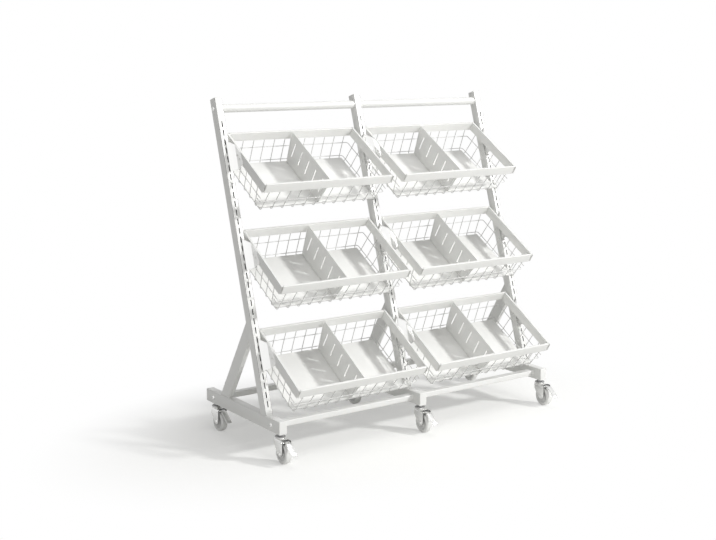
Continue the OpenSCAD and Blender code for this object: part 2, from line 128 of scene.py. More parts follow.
@dataclass(frozen=True)
class RackSizes:
    """Sizes of the rack in millimetres and radians, as in the CAD source."""

    tube_w: float = 30.0
    wall: float = 2.0
    corner: float = 3.0
    foot_y: float = -221.5
    foot_len: float = 515.0
    foot_h: float = 46.0
    castor_h: float = 98.0
    cap_t: float = 3.0
    upright_d: float = 35.0
    upright_len: float = 1125.0
    upright_setback: float = 89.0
    lean: float = math.radians(17.3)
    brace_w: float = 20.0
    brace_d: float = 50.0
    brace_lean: float = math.radians(32.0)
    brace_setback: float = 99.0
    rail_d: float = 30.0
    rail_h: float = 20.0
    rail_corner: float = 2.5
    rail_inset: float = 54.0
    bar_r: float = 15.0
    bar_up: float = 1091.0
    slot_first: float = 38.0
    slot_pitch: float = 32.0
    slot_count: int = 32
    slot_len: float = 22.0
    slot_w: float = 4.0
    basket_w: float = 550.0
    basket_d: float = 310.0
    basket_h: float = 130.0
    basket_sink: float = 24.0
    tilt: float = math.radians(32.0)
    rim_above_hook: float = 70.0
    rim_h: float = 34.0
    rim_t: float = 8.0
    rim_sheet: float = 1.0
    wall_inset: float = 5.38
    wire_grip: float = 12.0
    wire_r: float = 1.5
    wire_pitch: float = 44.0
    wires_across: int = 12
    wires_along: int = 6
    slope: float = math.tan(math.radians(9.5))
    ring_depth: float = 66.0
    front_ring_depth: float = 82.0
    low_ring_depth: float = 115.9
    sheet: float = 1.5
    divider_top: float = -4.0
    divider_foot_z: float = -122.66
    divider_foot_w: float = 22.0
    divider_top_half: float = 145.5
    divider_foot_half: float = 125.9
    divider_slots: int = 5
    divider_pitch: float = 53.0
    divider_slot_len: float = 58.0
    divider_slot_w: float = 5.0
    divider_slot_drop: float = 26.0
    wheel_r: float = 35.0
    trail: float = 24.0
    leg_in: float = 15.5
    leg_t: float = 2.5
    crown_top: float = 82.3
    pedal_y: float = -34.0
    pedal_z: float = 75.3

    @property
    def foot_top(self) -> float:
        """Height of the feet's upper faces."""
        return self.castor_h + self.foot_h

    @property
    def foot_rear(self) -> float:
        """The y of the feet's rear ends."""
        return self.foot_y + self.foot_len

    @property
    def rail_ys(self) -> Point2:
        """The y of the front and rear rails' centre lines."""
        return (self.foot_y + self.rail_inset, self.foot_rear - self.rail_inset)

    @property
    def rail_z(self) -> float:
        """Height of the rails' centre lines."""
        return self.castor_h + self.foot_h / 2

    def on_upright(self, x: float) -> Matrix:
        """Frame of an upright: origin at its front edge on the foot, z along its face.

        Args:
            x: The upright's place along the rack.

        Returns:
            The matrix from the upright's frame to the row frame, in millimetres.
        """
        place = shift(x, self.foot_y + self.upright_setback, self.foot_top)
        return place @ Matrix.Rotation(-self.lean, 4, "X")

    def in_basket(self, bay: Bay, row: Row) -> Matrix:
        """Frame of a basket: origin at its rear rim's top, -y forward and -z down.

        Args:
            bay: The bay it hangs in.
            row: The row it hangs in.

        Returns:
            The matrix from the basket's frame to the row frame, in millimetres.
        """
        rear = shift(0, self.basket_sink, row.value + self.rim_above_hook)
        return self.on_upright(bay.value) @ rear @ Matrix.Rotation(self.lean + self.tilt, 4, "X")

    def _half(self, size: float, depth: float) -> float:
        """Half a size between the wires, straight in the rim and tapering below it."""
        return size / 2 - self.wall_inset - max(0.0, depth - self.rim_h) * self.slope

    def half_w(self, depth: float) -> float:
        """Half the width between the side walls' wires at a depth below the rim."""
        return self._half(self.basket_w, depth)

    def half_d(self, depth: float) -> float:
        """Half the depth between the front and rear walls' wires at a depth below the rim."""
        return self._half(self.basket_d, depth)


R = RackSizes()


@dataclass(frozen=True)
class Finish:
    """How a surface looks.

    Attributes:
        name: Material name.
        slot: The record's slot that it belongs to.
        color: Base colour, linear.
        roughness: Mean roughness.
        metallic: 0 or 1.
        coat: Weight of a clear coat.
        grain_scale: Size of the fine surface texture, higher is finer.
        grain: Depth of that texture.
        tint: How much the colour wanders over the surface.
        dust: How much settled dust lies on upward faces.
        scuff: How much handling has dulled or marked the surface.
    """

    name: str
    slot: Slot
    color: Point3
    roughness: float
    metallic: float = 0.0
    coat: float = 0.0
    grain_scale: float = 900.0
    grain: float = 0.03
    tint: float = 0.02
    dust: float = 0.1
    scuff: float = 0.1


POWDER = Finish("white_powder_coat", Slot.POWDER, (0.85, 0.85, 0.83), 0.36, coat=0.12,
                grain_scale=1100, grain=0.05, tint=0.015)
SHEET = Finish("white_sheet_coat", Slot.POWDER, (0.905, 0.905, 0.885), 0.42, coat=0.08,
               grain_scale=1300, grain=0.04, dust=0.16, scuff=0.16)
# Same white coat as the frame, made darker as painted shade for the grey look of the thin wires
WIRE = Finish("white_wire_coat", Slot.POWDER, (0.705, 0.705, 0.69), 0.34, coat=0.15,
              grain_scale=1500, tint=0.01, dust=0.06, scuff=0.05)
BRACKET = Finish("satin_bracket_plating", Slot.POWDER, (0.78, 0.78, 0.77), 0.34, metallic=1.0,
                 dust=0.05)
CAP = Finish("white_cap_plastic", Slot.CAP, (0.86, 0.86, 0.84), 0.48, grain_scale=700,
             tint=0.01, scuff=0.08)
ZINC = Finish("bright_zinc", Slot.ZINC, (0.74, 0.74, 0.73), 0.26, metallic=1.0,
              grain_scale=420, tint=0.08, dust=0.05, scuff=0.35)
TREAD = Finish("wheel_tread", Slot.WHEEL, (0.92, 0.92, 0.90), 0.52, grain_scale=600,
               grain=0.04, tint=0.03, dust=0.08, scuff=0.15)
DISC = Finish("wheel_disc", Slot.WHEEL, (0.72, 0.72, 0.71), 0.44, grain_scale=800,
              tint=0.03, dust=0.12, scuff=0.15)
PEDAL = Finish("polished_pedal", Slot.ZINC, (0.72, 0.72, 0.71), 0.30, metallic=1.0,
               grain_scale=420, grain=0.02, tint=0.03, dust=0.03, scuff=0.15)
# Stem zinc darkened as painted shade for the deep shade between the feet and the castor crowns
STEM = Finish("dull_stem_zinc", Slot.ZINC, (0.38, 0.38, 0.38), 0.38, metallic=1.0,
              grain_scale=420, tint=0.08, dust=0.03, scuff=0.2)
# Near-black painted shade for faces that sit in shade: the uprights' insides behind the slots, the
# castor forks' inner and lower faces and the pedal toes' undersides
PAINTED_SHADE = Finish("bare_steel_inside", Slot.POWDER, (0.10, 0.10, 0.10), 0.62, grain_scale=500,
              grain=0.04, tint=0.10, dust=0.0, scuff=0.2)

SLOT_FINISH = {Slot.POWDER: POWDER, Slot.CAP: CAP, Slot.ZINC: ZINC, Slot.WHEEL: TREAD}
DUST_COLOR = (0.62, 0.60, 0.57, 1.0)
WORN_SHADE = 0.86
SCUFF_ROUGHNESS = 0.45
GRAIN_HEIGHT = 0.0004


class NodeTree:
    """Adds preset and linked nodes to a shader or geometry node tree."""

    def __init__(self, tree: bpy.types.NodeTree) -> None:
        """Keep the tree that the nodes go into."""
        self.tree = tree

    def link(self, source: Socket, target: Socket) -> None:
        """Link two sockets."""
        self.tree.links.new(source, target)

    def feed(self, node: Node, inputs: Inputs) -> None:
        """Link or set a node's inputs.

        Args:
            node: The node.
            inputs: Input name or number to a constant, or to the socket that feeds it.
        """
        for key, value in inputs.items():
            if isinstance(value, Socket):
                self.link(value, node.inputs[key])
            else:
                node.inputs[key].default_value = value

    def node(self, kind: str, inputs: Inputs | None = None, **settings: Any) -> Node:
        """Add a node.

        Args:
            kind: Node type.
            inputs: As for feed.
            **settings: Properties of the node.

        Returns:
            The new node.
        """
        node = self.tree.nodes.new(kind)
        for key, value in settings.items():
            setattr(node, key, value)
        self.feed(node, inputs or {})
        return node

    def out(self, kind: str, inputs: Inputs | None = None, **settings: Any) -> Socket:
        """Add a node as node does and give its first output."""
        return self.node(kind, inputs, **settings).outputs[0]

    def math(self, operation: str, *values: Socket | float) -> Socket:
        """Add a math node on sockets or numbers and give its output."""
        return self.out("ShaderNodeMath", dict(enumerate(values)), operation=operation)

    def noise(self, vector: Socket, scale: Socket | float, detail: float,
              roughness: float = 0.5) -> Socket:
        """Add a noise texture and give its factor."""
        return self.out("ShaderNodeTexNoise", {
            "Vector": vector, "Scale": scale, "Detail": detail, "Roughness": roughness})

    def step(self, value: Socket, low: float, high: float) -> Socket:
        """Map a value smoothly to 0 at low and 1 at high."""
        return self.out("ShaderNodeMapRange", {"Value": value, "From Min": low, "From Max": high},
                        interpolation_type="SMOOTHSTEP")

    def mix(self, factor: Socket, a: Any, b: Any) -> Socket:
        """Mix two colours, each a socket or four numbers."""
        node = self.node("ShaderNodeMix", {"Factor": factor, "A": a, "B": b}, data_type="RGBA")
        return node.outputs["Result"]


class ShaderGroup(NodeTree):
    """Shader node group with a Vector input, float inputs and float outputs."""

    def __init__(self, name: str, inputs: dict[str, float], outputs: Sequence[str]) -> None:
        """Make the group with its sockets.

        Args:
            name: Group name.
            inputs: Float input names with their defaults.
            outputs: Float output names.
        """
        super().__init__(bpy.data.node_groups.new(name, "ShaderNodeTree"))
        face = self.tree.interface
        face.new_socket("Vector", in_out="INPUT", socket_type="NodeSocketVector")
        for label, value in inputs.items():
            socket = face.new_socket(label, in_out="INPUT", socket_type="NodeSocketFloat")
            socket.default_value = value
        for label in outputs:
            face.new_socket(label, in_out="OUTPUT", socket_type="NodeSocketFloat")
        self.source = self.tree.nodes.new("NodeGroupInput").outputs
        self.sink = self.tree.nodes.new("NodeGroupOutput").inputs


def fine_grain() -> ShaderGroup:
    """Group of a fine height texture and a slow drift for the colour.

    Returns:
        The group.
    """
    g = ShaderGroup("FineGrain", {"Scale": 900.0, "Drift": 4.0}, ["Height", "Drift"])
    vector, scale = g.source["Vector"], g.source["Scale"]
    fine = g.noise(vector, scale, 2.0)
    coarse = g.noise(vector, g.math("MULTIPLY", scale, 0.3), 1.0)
    both = g.math("ADD", g.math("MULTIPLY", fine, 0.6), g.math("MULTIPLY", coarse, 0.4))
    g.link(both, g.sink["Height"])
    g.link(g.noise(vector, g.source["Drift"], 3.0), g.sink["Drift"])
    return g


def settled_dust() -> ShaderGroup:
    """Group whose mask is settled dust in clouds and specks on upward faces.

    Returns:
        The group.
    """
    g = ShaderGroup("SettledDust", {"Amount": 0.1}, ["Mask"])
    vector = g.source["Vector"]
    normal = g.node("ShaderNodeNewGeometry").outputs["Normal"]
    facing = g.node("ShaderNodeSeparateXYZ", {0: normal}).outputs["Z"]
    up = g.step(facing, 0.45, 0.98)
    clouds = g.step(g.noise(vector, 9.0, 5.0, 0.62), 0.35, 0.75)
    specks = g.step(g.noise(vector, 260.0, 2.0), 0.58, 0.80)
    patch = g.math("ADD", clouds, g.math("MULTIPLY", specks, 0.6))
    mask = g.math("MULTIPLY", g.math("MULTIPLY", up, patch), g.source["Amount"])
    g.link(mask, g.sink["Mask"])
    return g


def handling_scuffs() -> ShaderGroup:
    """Group whose mask is dulled patches with stretched marks in them.

    Returns:
        The group.
    """
    g = ShaderGroup("HandlingScuffs", {"Amount": 0.1, "Scale": 14.0}, ["Mask"])
    vector = g.source["Vector"]
    patches = g.step(g.noise(vector, g.source["Scale"], 4.0), 0.52, 0.72)
    stretched = g.out("ShaderNodeMapping", {"Scale": (1.0, 9.0, 3.0), "Vector": vector})
    marks = g.step(g.noise(stretched, 55.0, 3.0, 0.7), 0.60, 0.78)
    share = g.math("ADD", g.math("MULTIPLY", marks, 0.8), 0.35)
    mixed = g.math("MULTIPLY", patches, share)
    g.link(g.math("MULTIPLY", mixed, g.source["Amount"]), g.sink["Mask"])
    return g


class MaterialLibrary:
    """Makes one procedural material for each finish and hands it out again."""

    def __init__(self) -> None:
        """Build the groups that the materials share."""
        self.grain, self.dust, self.scuff = fine_grain(), settled_dust(), handling_scuffs()
        self._made: dict[str, bpy.types.Material] = {}

    def get(self, finish: Finish) -> bpy.types.Material:
        """Give the material of a finish, building it the first time.

        Args:
            finish: The finish wanted.

        Returns:
            The finish's material.
        """
        if finish.name not in self._made:
            self._made[finish.name] = self._build(finish)
        return self._made[finish.name]

    def _build(self, finish: Finish) -> bpy.types.Material:
        """Build a finish's material.

        Args:
            finish: The finish.

        Returns:
            A new material on Object coordinates.
        """
        material = bpy.data.materials.new(finish.name)
        material.use_nodes = True
        material.diffuse_color = (*finish.color, 1.0)
        t = NodeTree(material.node_tree)
        coords = t.node("ShaderNodeTexCoord").outputs["Object"]

        def use(group: ShaderGroup, **inputs: float) -> Any:
            """Place a shared group and give its outputs."""
            node = t.node("ShaderNodeGroup", {"Vector": coords, **inputs}, node_tree=group.tree)
            return node.outputs

        def shade(factor: float) -> tuple[float, ...]:
            """The base colour times a factor."""
            return (*(min(1.0, c * factor) for c in finish.color), 1.0)

        grain = use(self.grain, Scale=finish.grain_scale, Drift=5.0)
        dust = use(self.dust, Amount=finish.dust)["Mask"]
        scuff = use(self.scuff, Amount=finish.scuff, Scale=16.0)["Mask"]
        drifted = t.mix(grain["Drift"], shade(1 - finish.tint), shade(1 + finish.tint))
        marked = t.mix(scuff, drifted, shade(WORN_SHADE))
        bump = t.node("ShaderNodeBump", {"Strength": finish.grain, "Distance": GRAIN_HEIGHT,
                                         "Height": grain["Height"]})
        t.feed(t.tree.nodes["Principled BSDF"], {
            "Base Color": t.mix(dust, marked, DUST_COLOR),
            "Roughness": t.math("MULTIPLY_ADD", scuff, SCUFF_ROUGHNESS, finish.roughness),
            "Normal": bump.outputs["Normal"],
            "Metallic": finish.metallic,
            "Coat Weight": finish.coat,
            "Coat Roughness": 0.25,
        })
        return material


class GeometryTree(NodeTree):
    """Geometry node tree with named inputs, run on one mesh at a time."""

    def __init__(self, name: str, inputs: dict[str, str]) -> None:
        """Make the tree with its inputs.

        Args:
            name: Tree name.
            inputs: Input names with their socket kinds.
        """
        super().__init__(bpy.data.node_groups.new(name, "GeometryNodeTree"))
        face = self.tree.interface
        self.ids: dict[str, str] = {}
        for label, kind in {"Geometry": "Geometry", **inputs, "Material": "Material"}.items():
            made = face.new_socket(label, in_out="INPUT", socket_type=f"NodeSocket{kind}")
            self.ids[label] = made.identifier
        face.new_socket("Geometry", in_out="OUTPUT", socket_type="NodeSocketGeometry")
        self.source = self.tree.nodes.new("NodeGroupInput").outputs
        self.sink = self.tree.nodes.new("NodeGroupOutput").inputs

    def instances(self, points: Socket, shape: Socket, **inputs: Socket) -> Socket:
        """Set a shape on points."""
        return self.out("GeometryNodeInstanceOnPoints",
                        {"Points": points, "Instance": shape, **inputs})

    def realized(self, geometry: Socket) -> Socket:
        """Make instances real."""
        return self.out("GeometryNodeRealizeInstances", {"Geometry": geometry})

    def finish(self, geometry: Socket) -> None:
        """End the tree with realised instances and the material input.

        Args:
            geometry: What the tree has made.
        """
        dressed = self.out("GeometryNodeSetMaterial", {
            "Geometry": self.realized(geometry), "Material": self.source["Material"]})
        self.link(dressed, self.sink[0])

    def row(self, shape: Socket) -> Socket:
        """Repeat a shape along the tree's Count, Start and Step inputs.

        Args:
            shape: The shape to repeat.

        Returns:
            The row of instances.
        """
        i = self.source
        line = self.out("GeometryNodeMeshLine", {
            "Count": i["Count"], "Start Location": i["Start"], "Offset": i["Step"]}, mode="OFFSET")
        return self.instances(line, shape)

    def tool(self) -> Socket:
        """Shape of the object in the tree's Tool input."""
        info = self.node("GeometryNodeObjectInfo", {"Object": self.source["Tool"]})
        return info.outputs["Geometry"]

    def run(self, mesh: Mesh, **values: Any) -> Mesh:
        """Run the tree on a mesh and give the result as a plain mesh.

        Args:
            mesh: The input geometry.
            **values: Input values by input name.

        Returns:
            A new mesh without modifiers.
        """
        obj = staged(mesh)
        modifier = obj.modifiers.new("tree", "NODES")
        modifier.node_group = self.tree
        for label, value in values.items():
            modifier[self.ids[label]] = value
        made = evaluated_mesh(obj)
        bpy.data.objects.remove(obj)
        return made


ROW_INPUTS = {"Count": "Int", "Start": "Vector", "Step": "Vector"}


def wire_tree() -> GeometryTree:
    """Tree that sweeps a round wire along a path and repeats it in a row.

    Returns:
        The tree.
    """
    t = GeometryTree("WireRow", {**ROW_INPUTS, "Radius": "Float", "Bend": "Float", "Sides": "Int"})
    i = t.source
    path = t.out("GeometryNodeMeshToCurve", {"Mesh": i["Geometry"]})
    bent = t.out("GeometryNodeFilletCurve", {
        "Curve": path, "Radius": i["Bend"], "Count": 4, "Limit Radius": True}, mode="POLY")
    ring = t.out("GeometryNodeCurvePrimitiveCircle",
                 {"Resolution": i["Sides"], "Radius": i["Radius"]})
    swept = t.out("GeometryNodeCurveToMesh",
                  {"Curve": bent, "Profile Curve": ring, "Fill Caps": True})
    smooth = t.out("GeometryNodeSetShadeSmooth", {"Geometry": swept})
    t.finish(t.row(smooth))
    return t


def slot_tree() -> GeometryTree:
    """Tree that cuts a row of equal slots out of a tube or sheet.

    Returns:
        The tree.
    """
    t = GeometryTree("SlotRow", {**ROW_INPUTS, "Tool": "Object"})
    cut = t.out("GeometryNodeMeshBoolean", {
        "Mesh 1": t.source["Geometry"], "Mesh 2": t.realized(t.row(t.tool()))},
        operation="DIFFERENCE", solver="EXACT")
    t.finish(cut)
    return t


def stud_tree() -> GeometryTree:
    """Tree that sets a small shape on each point, its z along the point's axis.

    Returns:
        The tree.
    """
    t = GeometryTree("StudSet", {"Tool": "Object"})
    axis = t.node("GeometryNodeInputNamedAttribute", {"Name": "axis"}, data_type="FLOAT_VECTOR")
    aligned = t.out("FunctionNodeAlignRotationToVector",
                    {"Vector": axis.outputs["Attribute"]}, axis="Z")
    t.finish(t.instances(t.source["Geometry"], t.tool(), Rotation=aligned))
    return t


def staged(mesh: Mesh, name: str = "tool") -> bpy.types.Object:
    """Put a mesh into the scene as an object.

    Args:
        mesh: The mesh.
        name: The object's name.

    Returns:
        The new object.
    """
    obj = bpy.data.objects.new(name, mesh)
    bpy.context.scene.collection.objects.link(obj)
    return obj


def evaluated_mesh(obj: bpy.types.Object) -> Mesh:
    """Give an object's mesh with its modifiers applied, as new data."""
    depsgraph = bpy.context.evaluated_depsgraph_get()
    return bpy.data.meshes.new_from_object(obj.evaluated_get(depsgraph), depsgraph=depsgraph)


def modified(mesh: Mesh, kind: str, **settings: Any) -> Mesh:
    """Give a mesh with one modifier applied, as new data.

    Args:
        mesh: The mesh.
        kind: Modifier type.
        **settings: Its settings.

    Returns:
        The modified mesh.
    """
    obj = staged(mesh)
    modifier = obj.modifiers.new("step", kind)
    for key, value in settings.items():
        setattr(modifier, key, value)
    made = evaluated_mesh(obj)
    bpy.data.objects.remove(obj)
    return made


def intersection(a: Mesh, b: Mesh) -> Mesh:
    """Give what two solids share, as a new mesh.

    Args:
        a: First solid.
        b: Second solid.

    Returns:
        Their intersection.
    """
    tool = staged(b)
    made = modified(a, "BOOLEAN", operation="INTERSECT", object=tool, solver="EXACT")
    bpy.data.objects.remove(tool)
    return made


def softened(mesh: Mesh, width: float, angle: float = 35.0) -> Mesh:
    """Round a mesh's sharp edges with two-step bevels.

    Args:
        mesh: The mesh.
        width: Bevel width in millimetres.
        angle: Edges sharper than this are rounded, in degrees.

    Returns:
        The rounded mesh.
    """
    return modified(mesh, "BEVEL", width=width * MM, segments=2, limit_method="ANGLE",
                    angle_limit=math.radians(angle))


def mesh_from(verts: Iterable[Sequence[float]], faces: Iterable[Sequence[int]],
              edges: Iterable[Sequence[int]] = ()) -> Mesh:
    """Make a mesh in metres from points in millimetres.

    Args:
        verts: Its points.
        faces: Its faces, by numbers of points.
        edges: Loose edges, by numbers of points.

    Returns:
        The new mesh.
    """
    mesh = bpy.data.meshes.new("shape")
    mesh.from_pydata([tuple(c * MM for c in v) for v in verts], list(edges), list(faces))
    mesh.update()
    return mesh


def cleaned(mesh: Mesh, weld: bool = True, outwards: bool = True) -> Mesh:
    """Clean a mesh in place.

    Args:
        mesh: The mesh.
        weld: Whether doubled points are welded and collapsed faces dropped.
        outwards: Whether the faces are turned outwards.

    Returns:
        The same mesh.
    """
    bm = bmesh.new()
    bm.from_mesh(mesh)
    if weld:
        bmesh.ops.remove_doubles(bm, verts=bm.verts, dist=WELD_DISTANCE)
        bmesh.ops.dissolve_degenerate(bm, edges=bm.edges, dist=WELD_DISTANCE)
    if outwards:
        bmesh.ops.recalc_face_normals(bm, faces=bm.faces)
    bm.to_mesh(mesh)
    bm.free()
    return mesh


def moved(mesh: Mesh, matrix: Matrix) -> Mesh:
    """Copy a mesh and place it with a matrix whose lengths are millimetres.

    Args:
        mesh: The mesh to copy, in metres.
        matrix: Its place, in millimetres. A mirroring matrix turns the faces back out.

    Returns:
        The placed copy.
    """
    copy = mesh.copy()
    placed = matrix.copy()
    placed.translation = placed.translation * MM
    copy.transform(placed)
    if placed.determinant() < 0:
        copy.flip_normals()
    return copy


def joined(meshes: Iterable[Mesh]) -> Mesh:
    """Join meshes into one, keeping their shading.

    Args:
        meshes: The meshes.

    Returns:
        One new mesh with all of them.
    """
    bm = bmesh.new()
    for mesh in meshes:
        bm.from_mesh(mesh)
    made = bpy.data.meshes.new("joined")
    bm.to_mesh(made)
    bm.free()
    return made


def shift(x: float, y: float, z: float) -> Matrix:
    """Matrix that moves by this much."""
    return Matrix.Translation((x, y, z))


def turn(degrees: float, axis: str) -> Matrix:
    """Matrix that turns about an axis."""
    return Matrix.Rotation(math.radians(degrees), 4, axis)


# Frames whose z runs along the row frame's x and y
ALONG_X = Matrix(((0, 0, 1, 0), (1, 0, 0, 0), (0, 1, 0, 0), (0, 0, 0, 1)))
ALONG_Y = Matrix(((0, 1, 0, 0), (0, 0, 1, 0), (1, 0, 0, 0), (0, 0, 0, 1)))


def arc(center: Point2, r: float, start: float, end: float, steps: int) -> list[Point2]:
    """Points of an arc, angles in degrees."""
    angles = [math.radians(start + (end - start) * i / steps) for i in range(steps + 1)]
    return [(center[0] + r * math.cos(a), center[1] + r * math.sin(a)) for a in angles]


def rounded_rect(w: float, d: float, r: float, center: Point2 = (0.0, 0.0)) -> list[Point2]:
    """Counter-clockwise rectangle with round corners.

    Args:
        w: Its first size.
        d: Its second size.
        r: Radius of its corners.
        center: Its middle.

    Returns:
        The outline's points.
    """
    x, y = w / 2 - r, d / 2 - r
    corners = ((x, -y, -90), (x, y, 0), (-x, y, 90), (-x, -y, 180))
    return [p for cx, cy, a in corners
            for p in arc((center[0] + cx, center[1] + cy), r, a, a + 90, 4)]


def circle(r: float, steps: int) -> list[Point2]:
    """Counter-clockwise circle."""
    return arc((0.0, 0.0), r, 0, 360, steps)[:-1]


def stadium(length: float, width: float) -> list[Point2]:
    """Counter-clockwise outline of a round-ended slot, long in its second coordinate.

    Args:
        length: The slot's whole length.
        width: Its width.

    Returns:
        The outline's points.
    """
    r = width / 2
    half = length / 2 - r
    return arc((0, half), r, 0, 180, 6) + arc((0, -half), r, 180, 360, 6)


def filleted(path: Sequence[Point2], radius: float, steps: int = 4,
             closed: bool = False) -> list[Point2]:
    """Round the corners of a polyline.

    Args:
        path: Its points.
        radius: Radius of its corners, smaller where spans are short.
        steps: Spans of each arc.
        closed: Whether it returns to its first point.

    Returns:
        The rounded polyline's points.
    """
    count, out = len(path), []
    for i, p in enumerate(path):
        if not closed and i in (0, count - 1):
            out.append(tuple(p))
            continue
        here = Vector(p)
        a, b = Vector(path[i - 1]) - here, Vector(path[(i + 1) % count]) - here
        half = a.angle(b) / 2
        cut = min(radius / math.tan(half), a.length * 0.49, b.length * 0.49)
        r = cut * math.tan(half)
        a.normalize()
        b.normalize()
        middle = here + (a + b).normalized() * (r / math.sin(half))
        start, end = here + a * cut - middle, here + b * cut - middle
        out += [tuple(middle + start.lerp(end, k / steps).normalized() * r)
                for k in range(steps + 1)]
    return out


def offset_path(path: Sequence[Point2], amount: float) -> list[Point2]:
    """Move a polyline sideways with mitred corners, to its left for a positive amount.

    Args:
        path: Its points.
        amount: How far it moves.

    Returns:
        The moved polyline's points.
    """
    spans = [Vector(b) - Vector(a) for a, b in zip(path, path[1:])]
    sides = [Vector((-v.y, v.x)).normalized() for v in spans]
    out = []
    for i, p in enumerate(path):
        near = sides[max(0, i - 1):i + 1]
        side = sum(near, Vector((0.0, 0.0))) / len(near)
        out.append(tuple(Vector(p) + side * (amount / side.length_squared)))
    return out


def bent_sheet(path: Sequence[Point2], thickness: float, radius: float) -> list[Point2]:
    """Outline of a bent sheet around a centre path, counter-clockwise."""
    middle = filleted(path, radius)
    return offset_path(middle, -thickness / 2) + offset_path(middle, thickness / 2)[::-1]


def loft(loops: Sequence[Sequence[Point3]], capped: bool = True) -> Mesh:
    """Skin equal loops one after another and close both ends.

    Args:
        loops: Loops of points in millimetres, with as many points each.
        capped: Whether the first and last loop are closed with a face.

    Returns:
        The new mesh.
    """
    count, last = len(loops[0]), len(loops) - 1
    faces = [(k * count + i, k * count + j, (k + 1) * count + j, (k + 1) * count + i)
             for k in range(last) for i, j in ((i, (i + 1) % count) for i in range(count))]
    if capped:
        faces += [tuple(range(count))[::-1], tuple(range(last * count, (last + 1) * count))]
    return mesh_from([v for loop in loops for v in loop], faces)


def extruded(axis: str, outline: Sequence[Point2], low: float, high: float) -> Mesh:
    """Solid over an outline, drawn in the two other axes.

    Args:
        axis: X, Y or Z, the direction of the extrusion.
        outline: Its points, each with the two other coordinates in order.
        low: Where it begins on the axis.
        high: Where it ends.

    Returns:
        The closed solid.
    """
    at = "XYZ".index(axis)
    loops = [[(*p[:at], v, *p[at:]) for p in outline] for v in (low, high)]
    return cleaned(loft(loops), weld=False)


def lathe(profile: Sequence[Point2], steps: int) -> Mesh:
    """Turn a closed (radius, z) outline about z.

    Args:
        profile: The outline's points.
        steps: How many spans a turn has.

    Returns:
        The closed solid.
    """
    angles = [2 * math.pi * k / steps for k in range(steps + 1)]
    loops = [[(r * math.cos(a), r * math.sin(a), z) for r, z in profile] for a in angles]
    return cleaned(loft(loops, capped=False))


@dataclass(frozen=True)
class Plane:
    """A plane in the row frame, in millimetres."""

    point: Vector
    normal: Vector

    def hit(self, start: Vector, axis: Vector) -> Point3:
        """Where a line from a point along an axis meets the plane."""
        reach = (self.point - start).dot(self.normal) / axis.dot(self.normal)
        return tuple(start + axis * reach)


def plane_at(axis: str, value: float) -> Plane:
    """Plane across one of the row frame's axes."""
    normal = Vector([float(a == axis) for a in "XYZ"])
    return Plane(normal * value, normal)


def tube_between(place: Matrix, start: Plane, end: Plane, outer: Sequence[Point2],
                 inner: Sequence[Point2] = ()) -> Mesh:
    """Straight tube along its frame's z, cut by two planes.

    Args:
        place: The tube's frame in the row frame.
        start: Plane that ends it at low z.
        end: Plane that ends it at high z.
        outer: Outer outline in the tube's frame.
        inner: Inner outline with as many points, for a hollow tube.

    Returns:
        The tube's mesh in the row frame.
    """
    axis = place.to_3x3() @ Vector((0, 0, 1))

    def cut(outline: Sequence[Point2], plane: Plane) -> list[Point3]:
        """Where the tube's edges meet a plane."""
        return [plane.hit(place @ Vector((x, y, 0)), axis) for x, y in outline]

    loops = [cut(outer, start), cut(outer, end)]
    if not inner:
        return loft(loops)
    loops += [cut(inner, end), cut(inner, start), loops[0]]
    return cleaned(loft(loops, capped=False), outwards=False)


